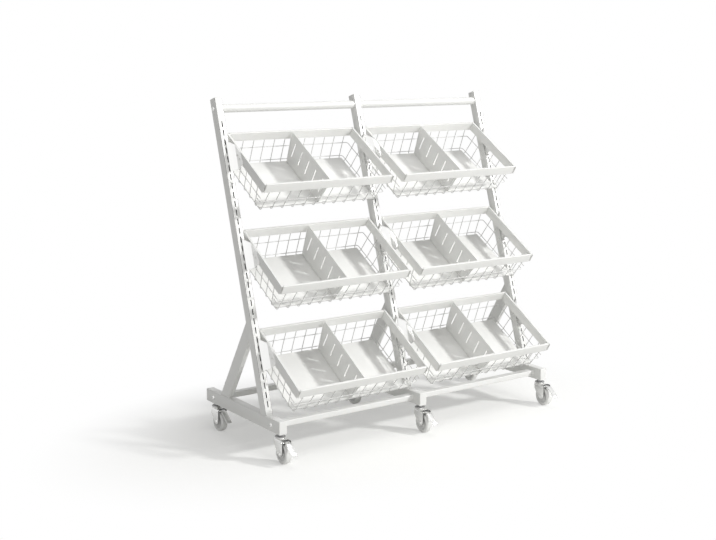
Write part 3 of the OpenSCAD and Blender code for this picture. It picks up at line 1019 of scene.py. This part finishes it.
@dataclass
class Workshop:
    """What every assembly needs: materials, geometry trees and the list of pieces.

    Attributes:
        materials: The material library.
        wires: Tree for rows of wire.
        slots: Tree for rows of slots.
        studs: Tree for screws, rivets and stems.
        pieces: Names of the pieces made so far.
    """

    materials: MaterialLibrary = field(default_factory=MaterialLibrary)
    wires: GeometryTree = field(default_factory=wire_tree)
    slots: GeometryTree = field(default_factory=slot_tree)
    studs: GeometryTree = field(default_factory=stud_tree)
    pieces: list[str] = field(default_factory=list)

    def add(self, name: str, mesh: Mesh, body: str, finish: Finish,
            replaces: Sequence[str] = (), angle: float = 32.0,
            bare: ShadePick | None = None) -> None:
        """Put a finished mesh into the scene as a piece of a body.

        Args:
            name: Piece name.
            mesh: Its mesh, in place.
            body: The CAD body it rides on.
            finish: Its finish.
            replaces: CAD nodes it stands for.
            angle: Edges sharper than this stay sharp, in degrees.
            bare: Picks, from a face's middle in millimetres and its normal, the
            faces that get the dark painted shade.
        """
        mesh.name = name
        mesh.materials.clear()
        mesh.materials.append(self.materials.get(finish))
        mesh.polygons.foreach_set("material_index", [0] * len(mesh.polygons))
        # The picked faces get the dark painted shade as a second material
        if bare:
            mesh.materials.append(self.materials.get(PAINTED_SHADE))
            for face in mesh.polygons:
                face.material_index = int(bare(face.center / MM, face.normal))
        mesh.shade_smooth()
        mesh.set_sharp_from_angle(angle=math.radians(angle))
        obj = staged(mesh, name)
        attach(obj, body)
        if replaces:
            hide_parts(*replaces)
        self.pieces.append(name)
        LOG.info("%s on %s: %d faces", name, body, len(mesh.polygons))

    def row_of_wire(self, path: Sequence[Point3], count: int = 1, start: Point3 = (0, 0, 0),
                    step: Point3 = (0, 0, 0), bend: float = 0.0, r: float = R.wire_r,
                    closed: bool = False, sides: int = 10) -> Mesh:
        """Sweep a wire along a path and repeat it.

        Args:
            path: The wire's corners, in millimetres.
            count: How many there are.
            start: Where the first stands.
            step: From one to the next.
            bend: Radius of its bends.
            r: Radius of the wire.
            closed: Whether it returns to its first corner.
            sides: Sides of its section.

        Returns:
            The row of wires.
        """
        last = len(path) - 1
        edges = [(i, i + 1) for i in range(last)] + ([(last, 0)] if closed else [])
        return self.wires.run(mesh_from(path, [], edges), Count=count, Start=Vector(start) * MM,
                              Step=Vector(step) * MM, Radius=r * MM, Bend=bend * MM, Sides=sides)

    def slotted(self, mesh: Mesh, cutter: Mesh, count: int, start: Vector, step: Vector) -> Mesh:
        """Cut a row of slots out of a mesh.

        Args:
            mesh: The mesh to cut.
            cutter: The slot's solid, around the origin.
            count: How many slots there are.
            start: Where the first is, in millimetres.
            step: From one to the next, in millimetres.

        Returns:
            The slotted mesh.
        """
        tool = staged(cutter)
        made = self.slots.run(mesh, Tool=tool, Count=count, Start=start * MM, Step=step * MM)
        bpy.data.objects.remove(tool)
        return made

    def studded(self, shape: Mesh, spots: Sequence[tuple[Vector, Vector]]) -> Mesh:
        """Set a shape on each (point, axis) pair, points in millimetres.

        Args:
            shape: The shape, standing on z = 0.
            spots: The pairs.

        Returns:
            All of them in one mesh.
        """
        tool = staged(shape)
        points = mesh_from([tuple(p) for p, _ in spots], [])
        axes = points.attributes.new("axis", "FLOAT_VECTOR", "POINT")
        axes.data.foreach_set("vector", [c for _, axis in spots for c in axis])
        made = self.studs.run(points, Tool=tool)
        bpy.data.objects.remove(tool)
        return made


def screw_head() -> Mesh:
    """Domed screw head on z = 0 with a hexagonal socket.

    Returns:
        The head's mesh.
    """
    r, height, socket, steps = 7.5, 3.9, 2.9, 24
    angles = [2 * math.pi * k / steps for k in range(steps)]
    dome = [(r * 0.98, 0.0), (r, 0.5), (r * 0.94, height * 0.5), (r * 0.78, height * 0.84),
            (r * 0.55, height)]
    flat = [socket * math.cos(math.pi / 6) / math.cos(a % (math.pi / 3) - math.pi / 6)
            for a in angles]
    rings = [([ring] * steps, z) for ring, z in dome]
    rings += [(flat, height), (flat, height * 0.35)]
    return loft([[(reach * math.cos(a), reach * math.sin(a), z)
                  for reach, a in zip(reaches, angles)] for reaches, z in rings])


@dataclass
class SteelFrame:
    """Feet, rails, uprights, braces, crossbars, caps, welds and screws."""

    shop: Workshop

    def build(self) -> None:
        """Make every fixed piece of the frame."""
        self._feet()
        self._uprights()
        self._braces()
        self._bars()
        self._caps()
        self._welds()
        self._screws()

    def _coated(self, name: str, mesh: Mesh, *replaces: str, **options: Any) -> None:
        """Add a powder-coated piece."""
        self.shop.add(name, mesh, ROOT_BODY, POWDER, replaces, **options)

    @staticmethod
    def _tube(w: float, d: float, place: Matrix, start: Plane, end: Plane,
              center: Point2 = (0.0, 0.0)) -> Mesh:
        """Hollow rectangular tube with round corners between two planes."""
        twice = 2 * R.wall
        return tube_between(place, start, end, rounded_rect(w, d, R.corner, center),
                            rounded_rect(w - twice, d - twice, R.corner - R.wall, center))

    def _feet(self) -> None:
        """Three foot tubes, open between their end caps."""
        ends = [plane_at("Y", y) for y in (R.foot_y + R.cap_t, R.foot_rear - R.cap_t)]
        for post in Post:
            place = shift(post.value, 0, R.rail_z) @ ALONG_Y @ turn(90, "Z")
            mesh = self._tube(R.tube_w, R.foot_h, place, *ends)
            self._coated(f"foot_tube_{post.label}", mesh, f"foot_{post.label}")

    def _uprights(self) -> None:
        """Three leaning tubes with their slots, with a dark painted shade inside."""
        skin = 0.6
        cutter = extruded("Z", stadium(R.slot_len, R.slot_w), -R.wall, R.wall)
        for post in Post:
            place = R.on_upright(post.value)
            along = place.to_3x3() @ Vector((0, 0, 1))
            top = Plane(place @ Vector((0, 0, R.upright_len)), along)
            tube = self._tube(R.tube_w, R.upright_d, place, plane_at("Z", R.foot_top), top,
                              (0, R.upright_d / 2))
            tool = moved(cutter, place.to_3x3().to_4x4() @ turn(90, "X"))
            first = place @ Vector((0, R.wall / 2, R.slot_first))
            mesh = self.shop.slotted(tube, tool, R.slot_count, first, along * R.slot_pitch)

            # Faces behind the outer skin get the dark painted shade, so the slots show dark
            def inside(point: Vector, _: Vector, home: Matrix = place.inverted()) -> bool:
                """Whether a face lies behind the tube's outer skin."""
                p = home @ point
                return abs(p.x) < R.tube_w / 2 - skin and skin / 2 < p.y < R.upright_d - skin

            self._coated(f"slotted_upright_{post.label}", mesh, f"upright_{post.label}",
                         bare=inside)

    def _brace_place(self, post: Post) -> Matrix:
        """Frame of a brace: its tube lies at y -brace_d to 0."""
        foot = shift(post.value, R.foot_rear - R.brace_setback, R.foot_top)
        return foot @ Matrix.Rotation(R.brace_lean, 4, "X")

    def _brace_planes(self, post: Post) -> tuple[Plane, Plane]:
        """The foot's top and the upright's back."""
        upright = R.on_upright(post.value)
        return (plane_at("Z", R.foot_top), Plane(upright @ Vector((0, R.upright_d, 0)),
                                                 upright.to_3x3() @ Vector((0, 1, 0))))

    def _braces(self) -> None:
        """Three tubes from the feet's rear up to the uprights."""
        for post in Post:
            mesh = self._tube(R.brace_w, R.brace_d, self._brace_place(post),
                              *self._brace_planes(post), (0, -R.brace_d / 2))
            self._coated(f"brace_tube_{post.label}", mesh, f"brace_{post.label}")

    def _bars(self) -> None:
        """Front and rear rails and round crossbars, in pairs."""
        reach = Bay.RIGHT.value - R.tube_w / 2

        def pair(outline: Sequence[Point2], place: Matrix) -> Mesh:
            """A bar in each bay, from post to post."""
            return joined(tube_between(shift(bay.value, 0, 0) @ place @ ALONG_X,
                                       plane_at("X", bay.value - reach),
                                       plane_at("X", bay.value + reach), outline) for bay in Bay)

        rail = rounded_rect(R.rail_d, R.rail_h, R.rail_corner)
        for name, y in zip(("front_rails", "rear_rails"), R.rail_ys):
            self._coated(f"{name}_pair", pair(rail, shift(0, y, R.rail_z)), name)
        high = R.on_upright(0) @ shift(0, R.upright_d / 2, R.bar_up)
        self._coated("crossbar_pair", pair(circle(R.bar_r, 40), high), "crossbars")

    def _caps(self) -> None:
        """End caps of the feet and top caps of the uprights."""
        layers = ((0.0, 0.0), (R.cap_t - 1.4, 0.0), (R.cap_t - 0.5, 0.35), (R.cap_t - 0.1, 1.0),
                  (R.cap_t, 2.0))

        def cap(w: float, d: float) -> Mesh:
            """A cap on z = 0 with a rounded top edge."""
            return loft([[(x, y, z) for x, y in rounded_rect(w - 2 * i, d - 2 * i,
                                                             R.corner - i * 0.5)]
                         for z, i in layers])

        ends = [moved(cap(R.tube_w, R.foot_h), shift(post.value, y, R.rail_z) @ turn(a, "X"))
                for post in Post
                for y, a in ((R.foot_y + R.cap_t, 90), (R.foot_rear - R.cap_t, -90))]
        tops = [moved(cap(R.tube_w, R.upright_d), R.on_upright(post.value)
                      @ shift(0, R.upright_d / 2, R.upright_len)) for post in Post]
        for name, caps, node in (("foot_cap_set", ends, "foot_end_caps"),
                                 ("upright_cap_set", tops, "upright_caps")):
            self.shop.add(name, joined(caps), ROOT_BODY, CAP, [node], 40)

    def _welds(self) -> None:
        """Beads at the feet of uprights and around both ends of braces."""
        line_r, line_sink, loop_r, inset = 1.3, 0.4, 1.4, 0.6
        half = R.tube_w / 2 - R.corner
        outline = rounded_rect(R.brace_w - inset, R.brace_d - inset, R.corner,
                               (0, -R.brace_d / 2))
        beads = []
        for post in Post:
            place = R.on_upright(post.value)
            for y in (line_sink, R.upright_d - line_sink):
                ends = [tuple(place @ Vector((x, y, y * math.tan(R.lean)))) for x in (-half, half)]
                beads.append(self.shop.row_of_wire(ends, r=line_r, sides=8))
            brace = self._brace_place(post)
            axis = brace.to_3x3() @ Vector((0, 0, 1))
            for plane in self._brace_planes(post):
                loop = [plane.hit(brace @ Vector((x, y, 0)), axis) for x, y in outline]
                beads.append(self.shop.row_of_wire(loop, r=loop_r, closed=True, sides=8))
        self._coated("weld_beads", joined(beads), angle=60)

    def _screws(self) -> None:
        """Domed screws on the outer posts' outer faces."""
        rail, cross = [], []
        for post, s in ((Post.LEFT, -1), (Post.RIGHT, 1)):
            x, out = post.value + s * R.tube_w / 2, Vector((s, 0, 0))
            rail += [(Vector((x, y, R.rail_z)), out) for y in R.rail_ys]
            cross.append((R.on_upright(x) @ Vector((0, R.upright_d / 2, R.bar_up)), out))
        for name, spots, node in (("rail_screws", rail, "rail_bolts"),
                                  ("crossbar_screws", cross, "crossbar_bolts")):
            mesh = self.shop.studded(screw_head(), spots)
            self.shop.add(name, mesh, ROOT_BODY, ZINC, [node], 45)


@dataclass
class Basket:
    """One wire basket with its rim, end brackets, rivets, floor and divider."""

    shop: Workshop
    bay: Bay
    row: Row
    masters: dict[str, Mesh]

    def build(self) -> None:
        """Place the master shapes as this basket's pieces."""
        key = f"{self.row.label}_{self.bay.label}"
        basket, divider, bracket = f"basket_{key}", f"divider_{key}", f"brackets_{key}"
        place = R.in_basket(self.bay, self.row)
        for part, name, body, finish, angle in (
                ("wires", "basket_wires", basket, WIRE, 50),
                ("rim", "basket_rim", basket, POWDER, 30),
                ("divider", "divider_sheet", divider, SHEET, 30)):
            self.shop.add(f"{name}_{key}", moved(self.masters[part], place), body, finish,
                          [body], angle)
        upright = R.on_upright(self.bay.value) @ shift(0, 0, self.row.value)
        left = shift(Bay.LEFT.value, 0, 0)
        mirror = Matrix.Diagonal((-1, 1, 1, 1))
        plates = joined(moved(self.masters["bracket"], upright @ side)
                        for side in (left, mirror @ left))
        self.shop.add(f"bracket_plates_{key}", plates, basket, BRACKET, [bracket], 30)
        reach = R.basket_w / 2 + RIVET_OUT
        spots = [(place @ Vector((s * reach, *spot)), Vector((s, 0, 0)))
                 for s in (-1, 1) for spot in RIVET_SPOTS]
        rivets = self.shop.studded(self.masters["rivet"], spots)
        self.shop.add(f"bracket_rivets_{key}", rivets, basket, POWDER, [bracket], 45)


# Rivets on the brackets' outer faces, as (y, z) in the basket's frame
RIVET_SPOTS = ((-106.0, -24.0), (-126.0, -24.0))
RIVET_OUT = 1.65


def basket_masters(shop: Workshop) -> dict[str, Mesh]:
    """Shapes that all the baskets share, each in its own frame.

    Args:
        shop: The workshop.

    Returns:
        Wires, rim, divider, bracket and rivet meshes by name.
    """
    return {"wires": wire_cage(shop), "rim": rim_bands(), "divider": divider_sheet(shop),
            "bracket": end_bracket(), "rivet": rivet_head()}


def wire_cage(shop: Workshop) -> Mesh:
    """Wires of a basket in its frame: two families of bent wires and the level rings.

    Args:
        shop: The workshop.

    Returns:
        All the wires in one mesh.
    """
    mid, bend, pitch = -R.basket_d / 2, 11.0, R.wire_pitch
    floor_press, ring_press = 0.93, 0.92
    low = -R.basket_h + R.wire_r
    cross = low + 2 * R.wire_r * floor_press
    top = R.wire_grip - R.rim_h
    y_top, x_top = (reach + R.wire_grip * R.slope for reach in (R.half_d(0), R.half_w(0)))
    y_low, x_low = R.half_d(-low), R.half_w(-cross)
    across = [(0, mid - y_top, top), (0, mid - y_low, low), (0, mid + y_low, low),
              (0, mid + y_top, top)]
    along = [(-x_top, 0, top), (-x_low, 0, cross), (x_low, 0, cross), (x_top, 0, top)]
    first_x, first_y = ((1 - n) / 2 * pitch for n in (R.wires_across, R.wires_along))
    parts = [shop.row_of_wire(across, R.wires_across, (first_x, 0, 0), (pitch, 0, 0), bend),
             shop.row_of_wire(along, R.wires_along, (0, mid + first_y, 0), (0, pitch, 0), bend)]
    out = 2 * R.wire_r * ring_press
    for depth, gap, signs, end, closed in (
            (R.ring_depth, out, ((-1, -1), (-1, 1), (1, 1), (1, -1)), out, False),
            (R.front_ring_depth, out, ((-1, -1), (-1, -1), (1, -1), (1, -1)), pitch / 2, False),
            (R.low_ring_depth, -out, ((-1, -1), (1, -1), (1, 1), (-1, 1)), 0.0, True)):
        hx, hy = R.half_w(depth) + gap, R.half_d(depth) + gap
        ring = [(sx * hx, mid + sy * hy + (end if k in (0, 3) else 0), -depth)
                for k, (sx, sy) in enumerate(signs)]
        parts.append(shop.row_of_wire(ring, bend=9.0 if closed else 7.0, closed=closed))
    return joined(parts)


def rim_bands() -> Mesh:
    """Folded rim bands: the side bands run through, the front and rear ones stand between.

    Returns:
        The four bands in the basket's frame.
    """
    leg, top = (R.rim_t - R.rim_sheet) / 2, -R.rim_sheet / 2
    fold = bent_sheet([(-leg, -R.rim_h), (-leg, top), (leg, top), (leg, -R.rim_h)],
                      R.rim_sheet, 1.1)
    side = extruded("Y", fold, -R.basket_d, 0.0)
    shoulder = (R.basket_w - R.rim_t) / 2
    bands = [moved(side, shift(x, 0, 0)) for x in (-shoulder, shoulder)]
    reach = R.basket_w / 2 - R.rim_t - 1.2
    for y in (-R.basket_d + R.rim_t / 2, -R.rim_t / 2):
        bands.append(extruded("X", [(y + v, z) for v, z in fold], -reach, reach))
    return joined(bands)


def divider_sheet(shop: Workshop) -> Mesh:
    """Divider in the basket's frame: bent foot, sloped ends, five long slots.

    Args:
        shop: The workshop.

    Returns:
        The divider's mesh.
    """
    mid, t, foot_z = -R.basket_d / 2, R.sheet, R.divider_foot_z
    fold, corner, beyond = 2.0, 2.5, R.basket_d / 2 + 5
    section = bent_sheet([(0, R.divider_top), (0, foot_z + t / 2),
                          (R.divider_foot_w - t / 2, foot_z + t / 2)], t, fold)
    half = [(R.divider_foot_half, foot_z), (R.divider_top_half, -R.rim_h),
            (R.divider_top_half, R.divider_top)]
    outline = [(mid - y, z) for y, z in half[::-1]] + [(mid + y, z) for y, z in half]
    body = intersection(extruded("Y", section, mid - beyond, mid + beyond),
                        extruded("X", filleted(outline, corner, 3, closed=True), -5, 40))
    slot = stadium(R.divider_slot_len, R.divider_slot_w)
    first = Vector((0, mid - (R.divider_slots - 1) / 2 * R.divider_pitch,
                    R.divider_top - R.divider_slot_drop - R.divider_slot_len / 2))
    return shop.slotted(body, extruded("X", slot, -3.0, 3.0), R.divider_slots, first,
                        Vector((0, R.divider_pitch, 0)))


def end_bracket() -> Mesh:
    """Left end bracket in its upright's frame, heights counted from its top hook's slot.

    Returns:
        The plate with its two hooks.
    """
    plan = [(1.0, 0.3), (1.0, -6.0), (24.15, -22.0), (24.15, -62.0)]
    sheet = extruded("Z", bent_sheet(plan, 1.5, 3.0), -120, 60)
    foot = R.rim_above_hook - 149.0
    rim_line = math.tan(R.lean + R.tilt)
    face, shoulder = -0.3, -52.0
    rim_at_face = R.rim_above_hook - R.basket_sink * rim_line - 2.0
    nose = arc((-46.0, foot + 24.0), 13.0, 170.0, 256.0, 10)
    outline = [(face, foot), (face, rim_at_face),
               (shoulder, rim_at_face + (shoulder - face) * rim_line)] + nose
    parts = [intersection(sheet, extruded("X", outline, -5, 40))]
    for slot in (0, -2):
        low = slot * R.slot_pitch - R.slot_len / 2 + 0.1
        hook = [(-1.3, low), (2.3, low), (2.3, low - 8.0), (5.3, low - 8.0), (5.3, low + 12.0),
                (-1.3, low + 12.0)]
        parts.append(extruded("X", hook, 0.25, 1.75))
    return joined(parts)


def rivet_head() -> Mesh:
    """Low domed rivet head on z = 0."""
    return lathe([(0.0, 0.0), (4.5, 0.0), (4.4, 0.5), (3.6, 1.15), (2.0, 1.45), (0.0, 1.5)], 20)


@dataclass
class Castor:
    """One swivel castor: fork, axle, wheel and brake pedal."""

    shop: Workshop
    post: Post
    end: End
    masters: dict[str, Mesh]

    def build(self) -> None:
        """Place the master shapes as this castor's pieces."""
        key = f"castor_{self.end.label}_{self.post.label}"
        place = shift(self.post.value, self.end.value, 0)

        # The fork's inner and lower faces get the dark painted shade, for the shade between leg
        # and wheel
        def punched(point: Vector, normal: Vector) -> bool:
            """Whether a face of the fork looks inwards or down."""
            if abs(normal.x) > 0.6:
                return (point.x - self.post.value) * normal.x < 0
            return normal.z < 0.6 and point.z < R.crown_top

        # The underside of the pedal's toe gets the dark painted shade
        def toe(point: Vector, normal: Vector) -> bool:
            """Whether a face lies under the pedal's toe."""
            return normal.z < -0.5 and point.y < self.end.value - 80

        for part, body, finish, angle, bare in (
                ("fork", "fork", ZINC, 30, punched), ("axle", "fork", ZINC, 40, None),
                ("tread", "wheel", TREAD, 30, None), ("disc", "wheel", DISC, 30, None),
                ("pedal", "pedal", PEDAL, 35, toe)):
            self.shop.add(f"{key}_{part}_look", moved(self.masters[part], place),
                          f"{key}_{body}", finish, [f"{key}_{body}"], angle, bare)


def castor_masters(shop: Workshop) -> dict[str, Mesh]:
    """Shapes that all the castors share, swivel axis at the origin on the floor."""
    return {"fork": castor_fork(), "axle": castor_axle(), "tread": wheel_part(TYRE),
            "disc": wheel_part(WHEEL_DISC), "pedal": brake_pedal(shop)}


def castor_fork() -> Mesh:
    """Pressed fork: folded crown and legs, cut to its side and plan outlines, and lower race.

    Returns:
        The fork's mesh in the castor's frame.
    """
    out, top, rear_y = R.leg_in + R.leg_t / 2, R.crown_top, 10.8
    fold = bent_sheet([(-out, 10.0), (-out, top - R.leg_t / 2), (out, top - R.leg_t / 2),
                       (out, 10.0)], R.leg_t, 3.2)
    low, r = (-R.trail, R.wheel_r + 9), 17.0
    rear = (rear_y, top - 18)
    d = Vector(rear) - Vector(low)
    tangent = math.degrees(math.atan2(d.y, d.x) - math.acos(r / d.length))
    side = [(low[0] - r, top + 2)] + arc(low, r, 180, 360 + tangent, 20)
    side += [rear, (rear_y, top - 6), (22, top - 6), (22, top + 2)]
    plan_r = 21.0
    corner = math.degrees(math.asin(rear_y / plan_r))
    plan = arc((0, 0), plan_r, corner, 180 - corner, 20)
    plan += [(-18.2, -41.5), (-15.2, -41.5), (-15.2, -33)] + arc((-11.2, -33), 4, 180, 90, 4)
    plan += arc((11.2, -33), 4, 90, 0, 4) + [(15.2, -41.5), (18.2, -41.5)]
    body = intersection(extruded("Y", fold, -60, 40), extruded("X", side, -40, 40))
    body = intersection(body, extruded("Z", plan, 0, 100))
    race = lathe([(5.1, top - 0.3), (15.0, top - 0.3), (16.0, top + 1.2), (18.6, 86.6),
                  (18.9, 87.2), (18.4, 87.65), (5.1, 87.65)], 48)
    return joined([softened(body, 0.35), race])


def castor_axle() -> Mesh:
    """Axle and pedal pin with their heads.

    Returns:
        Both in the castor's frame.
    """
    half = R.leg_in + R.leg_t
    parts = []
    for y, z, r, head in ((-R.trail, R.wheel_r, 4.0, 6.8), (R.pedal_y, R.pedal_z, 3.0, 4.4)):
        rivet = [(r, half + 0.1), (head, half + 0.1), (head * 0.93, half + 1.4),
                 (head * 0.6, half + 2.1), (0.0, half + 2.1)]
        profile = [(x, -h) for x, h in rivet[::-1]] + rivet
        parts.append(moved(lathe(profile, 28), shift(0, y, z) @ ALONG_X))
    return joined(parts)


# Halves of the wheel's sections, as (radius, half width)
TYRE = [(25.2, 10.2), (25.8, 11.6), (27.0, 12.0), (30.4, 12.0), (30.8, 11.5), (31.4, 11.5),
        (31.8, 11.8), (32.8, 11.4), (33.9, 10.4), (34.7, 8.8), (35.0, 6.8), (35.0, 0.0)]
WHEEL_DISC = [(4.1, 14.5), (7.4, 14.5), (8.6, 13.9), (11.6, 13.9), (12.2, 13.2), (12.4, 9.2),
              (13.4, 8.2), (16.0, 8.0), (20.5, 8.6), (23.6, 9.8), (25.3, 10.2)]


def wheel_part(half: Sequence[Point2]) -> Mesh:
    """Tyre or disc of the wheel, turned about its axle.

    Args:
        half: Half of its section.

    Returns:
        Its mesh in the castor's frame.
    """
    profile = [(r, -z) for r, z in half] + list(half[::-1])
    return moved(lathe(profile, 72), shift(0, -R.trail, R.wheel_r) @ ALONG_X)


def brake_pedal(shop: Workshop) -> Mesh:
    """Brake pedal: barrel on its pin, bent tongue with ribs, and shoe.

    Args:
        shop: The workshop.

    Returns:
        The pedal's mesh in the castor's frame.
    """
    y0, z0 = R.pedal_y, R.pedal_z
    toe_y, toe_z = -90.7, z0 - 32
    path = [(y0, z0 + 3.25), (y0 - 22, z0 + 1), (toe_y + 3.7, toe_z + 6), (toe_y, toe_z)]
    tongue = softened(extruded("X", bent_sheet(path, 2.5, 8.0), -10.0, 10.0), 0.5)
    barrel = extruded("X", [(y0 + y, z0 + z) for y, z in circle(4.5, 24)], -14.5, 14.5)
    shoe = [(y0, z0 + 1), (y0 - 6, z0 - 6.6), (y0 - 11, z0 - 8.2), (y0 - 12, z0 + 1)]
    a, b = Vector(path[1]), Vector(path[2])
    along = (b - a).normalized()
    first = a.lerp(b, 0.55) + Vector((along.y, -along.x)) * 1.2
    step = along * 4.2
    ribs = shop.row_of_wire([(-7.0, 0, 0), (7.0, 0, 0)], 4, (0, *first), (0, *step), r=0.6,
                            sides=8)
    return joined([tongue, barrel, softened(extruded("X", shoe, -8, 8), 0.4), ribs])


def castor_stems(shop: Workshop) -> Mesh:
    """Hex nut, upper race and kingpin with its head, of every castor.

    Args:
        shop: The workshop.

    Returns:
        The stems of all the castors in one mesh.
    """
    stem = joined(lathe(profile, steps) for profile, steps in (
        ([(0.0, 91.0), (9.6, 91.0), (11.0, 91.8), (11.0, 97.2), (9.6, 98.0), (0.0, 98.0)], 6),
        ([(0.0, 88.0), (18.3, 88.0), (18.9, 88.5), (18.6, 89.4), (16.4, 91.0), (0.0, 91.0)], 48),
        ([(0.0, 79.5), (5.0, 79.5), (5.0, 88.2), (0.0, 88.2)], 24),
        ([(0.0, 76.0), (6.6, 76.0), (8.0, 77.4), (8.0, 79.5), (0.0, 79.5)], 28)))
    spots = [(Vector((post.value, end.value, 0)), Vector((0, 0, 1)))
             for post in Post for end in End]
    return shop.studded(stem, spots)


@dataclass(frozen=True)
class Lamp:
    """An area light.

    Attributes:
        name: Its name.
        direction: Direction from the rack towards it.
        distance: Distance from the rack, in metres.
        size: Its diameter, in metres.
        level: What a white surface facing it would show.
    """

    name: str
    direction: Point3
    distance: float
    size: float
    level: float

    def build(self) -> None:
        """Make the light, aimed at the middle of the rack."""
        light = bpy.data.lights.new(self.name, "AREA")
        light.shape, light.size = "DISK", self.size
        light.energy = self.level * math.pi ** 2 * self.distance ** 2
        lamp = bpy.data.objects.new(self.name, light)
        towards = Vector(self.direction).normalized()
        lamp.location = Vector(LAMP_TARGET) + towards * self.distance
        lamp.rotation_euler = (-towards).to_track_quat("-Z", "Y").to_euler()
        bpy.context.scene.collection.objects.link(lamp)


LAMP_TARGET = (0.0, 0.0, 0.55)
LAMPS = (
    Lamp("key_light", (0.57, -0.68, 0.465), 9.0, 1.0, 0.63),
    Lamp("fill_light", (-0.25, -0.90, 0.35), 5.0, 3.0, 0.13),
    Lamp("top_light", (0.1, -0.15, 1.0), 6.0, 4.0, 0.28),
    Lamp("side_light", (-0.90, -0.35, 0.30), 6.0, 4.0, 0.05),
)


@dataclass(frozen=True)
class Studio:
    """Floor, lights, world and camera.

    Attributes:
        ambient: Level of the sky on all sides.
        floor_glow: Level added to the floor for camera rays only.
        floor_color: The floor's own colour, linear.
        oval: Half axes of the oval in which the floor's shade fades to white, in metres.
        oval_center: Where that oval is centred.
        fade: Where the fade begins and ends, in half axes.
        floor_half: Half the floor's side, in millimetres.
    """

    ambient: float = 0.26
    floor_glow: float = 0.29
    floor_color: Point3 = (0.76, 0.76, 0.74)
    oval: Point2 = (1.05, 0.66)
    oval_center: Point2 = (-0.10, 0.05)
    fade: Point2 = (0.55, 1.25)
    floor_half: float = 30000.0

    def build(self) -> None:
        """Make the whole studio."""
        self._world()
        self._floor()
        for lamp in LAMPS:
            lamp.build()
        self._camera()
        bpy.context.scene.view_settings.view_transform = "Standard"

    @staticmethod
    def _seen(t: NodeTree) -> Socket:
        """Give 1 for camera, glossy and transmission rays and 0 for the rest.

        Args:
            t: The tree that needs it.

        Returns:
            The factor's socket.
        """
        rays = t.node("ShaderNodeLightPath").outputs
        direct = t.math("MAXIMUM", rays["Is Camera Ray"], rays["Is Glossy Ray"])
        return t.math("MAXIMUM", direct, rays["Is Transmission Ray"])

    def _world(self) -> None:
        """Sky: plain ambient light, and white where it is seen."""
        world = bpy.data.worlds.new("studio_world")
        world.use_nodes = True
        bpy.context.scene.world = world
        t = NodeTree(world.node_tree)
        level = t.out("ShaderNodeMapRange", {
            "Value": self._seen(t), "To Min": self.ambient, "To Max": 1.0})
        t.feed(t.tree.nodes["Background"], {"Strength": level, "Color": (1.0, 1.0, 1.0, 1.0)})

    def _floor(self) -> None:
        """Pale floor that keeps the shadow near the rack and fades to white around it."""
        size = self.floor_half
        corners = [(-size, -size, 0), (size, -size, 0), (size, size, 0), (-size, size, 0)]
        floor = staged(mesh_from(corners, [(0, 1, 2, 3)]), "studio_floor")
        material = bpy.data.materials.new("studio_floor")
        material.use_nodes = True
        t = NodeTree(material.node_tree)
        t.tree.nodes.clear()
        seen = self._seen(t)
        paint = t.out("ShaderNodeBsdfDiffuse", {"Color": (*self.floor_color, 1.0)})
        glow = t.out("ShaderNodeEmission", {
            "Strength": t.math("MULTIPLY", seen, self.floor_glow)})
        near = t.out("ShaderNodeAddShader", {0: paint, 1: glow})
        (w, d), (x, y) = self.oval, self.oval_center
        oval = t.out("ShaderNodeMapping", {
            "Vector": t.node("ShaderNodeTexCoord").outputs["Object"],
            "Scale": (1 / w, 1 / d, 1.0), "Location": (-x / w, -y / d, 0.0)})
        far = t.node("ShaderNodeVectorMath", {0: oval}, operation="LENGTH").outputs["Value"]
        white = t.math("MULTIPLY", t.step(far, *self.fade), seen)
        mixed = t.out("ShaderNodeMixShader", {
            "Fac": white, 1: near, 2: t.out("ShaderNodeEmission")})
        t.node("ShaderNodeOutputMaterial", {"Surface": mixed})
        floor.data.materials.append(material)

    @staticmethod
    def _camera() -> None:
        """Camera fitted to the photograph: focal length and shift in pixels of its width."""
        width, focal, shift_down = 716, 1223.24, 70.18
        data = bpy.data.cameras.new("camera")
        data.sensor_width = 36.0
        data.lens = focal * data.sensor_width / width
        data.shift_y = -shift_down / width
        data.clip_end = 200.0
        camera = bpy.data.objects.new("camera", data)
        camera.location = (-2.69666, -3.63734, 1.38822)
        downwards, sideways = 6.995, 35.149
        camera.rotation_euler = (math.radians(90.0 - downwards), 0.0, math.radians(-sideways))
        bpy.context.scene.collection.objects.link(camera)
        bpy.context.scene.camera = camera


def dress_cad_nodes(materials: MaterialLibrary) -> None:
    """Give every CAD node the procedural material of its record slot.

    Args:
        materials: The material library.
    """
    slots = {part["node"]: part["material_slot"] for part in frame["record"]["subparts"]}
    for name, node in frame["nodes"].items():
        slot = Slot(slots[name])
        finish = SHEET if name.startswith(("liner", "divider")) else SLOT_FINISH[slot]
        node.data.materials.clear()
        node.data.materials.append(materials.get(finish))


def clear_startup() -> None:
    """Remove the objects of Blender's start-up file."""
    for name in ("Cube", "Light", "Camera"):
        if name in bpy.data.objects:
            bpy.data.objects.remove(bpy.data.objects[name])


def main() -> None:
    """Build the rack's pieces and the studio."""
    logging.basicConfig(level=logging.INFO, format="%(message)s")
    clear_startup()
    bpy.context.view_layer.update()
    shop = Workshop()
    dress_cad_nodes(shop.materials)
    SteelFrame(shop).build()
    masters = basket_masters(shop)
    for bay in Bay:
        for row in Row:
            Basket(shop, bay, row, masters).build()
    # The stem set wears the darkened zinc, painted shade under the feet
    shop.add("castor_stem_set", castor_stems(shop), ROOT_BODY, STEM, ["castor_stems"], 35)
    castors = castor_masters(shop)
    for post in Post:
        for end in End:
            Castor(shop, post, end, castors).build()
    Studio().build()
    LOG.info("%d pieces", len(shop.pieces))


if __name__ == "__main__":
    main()
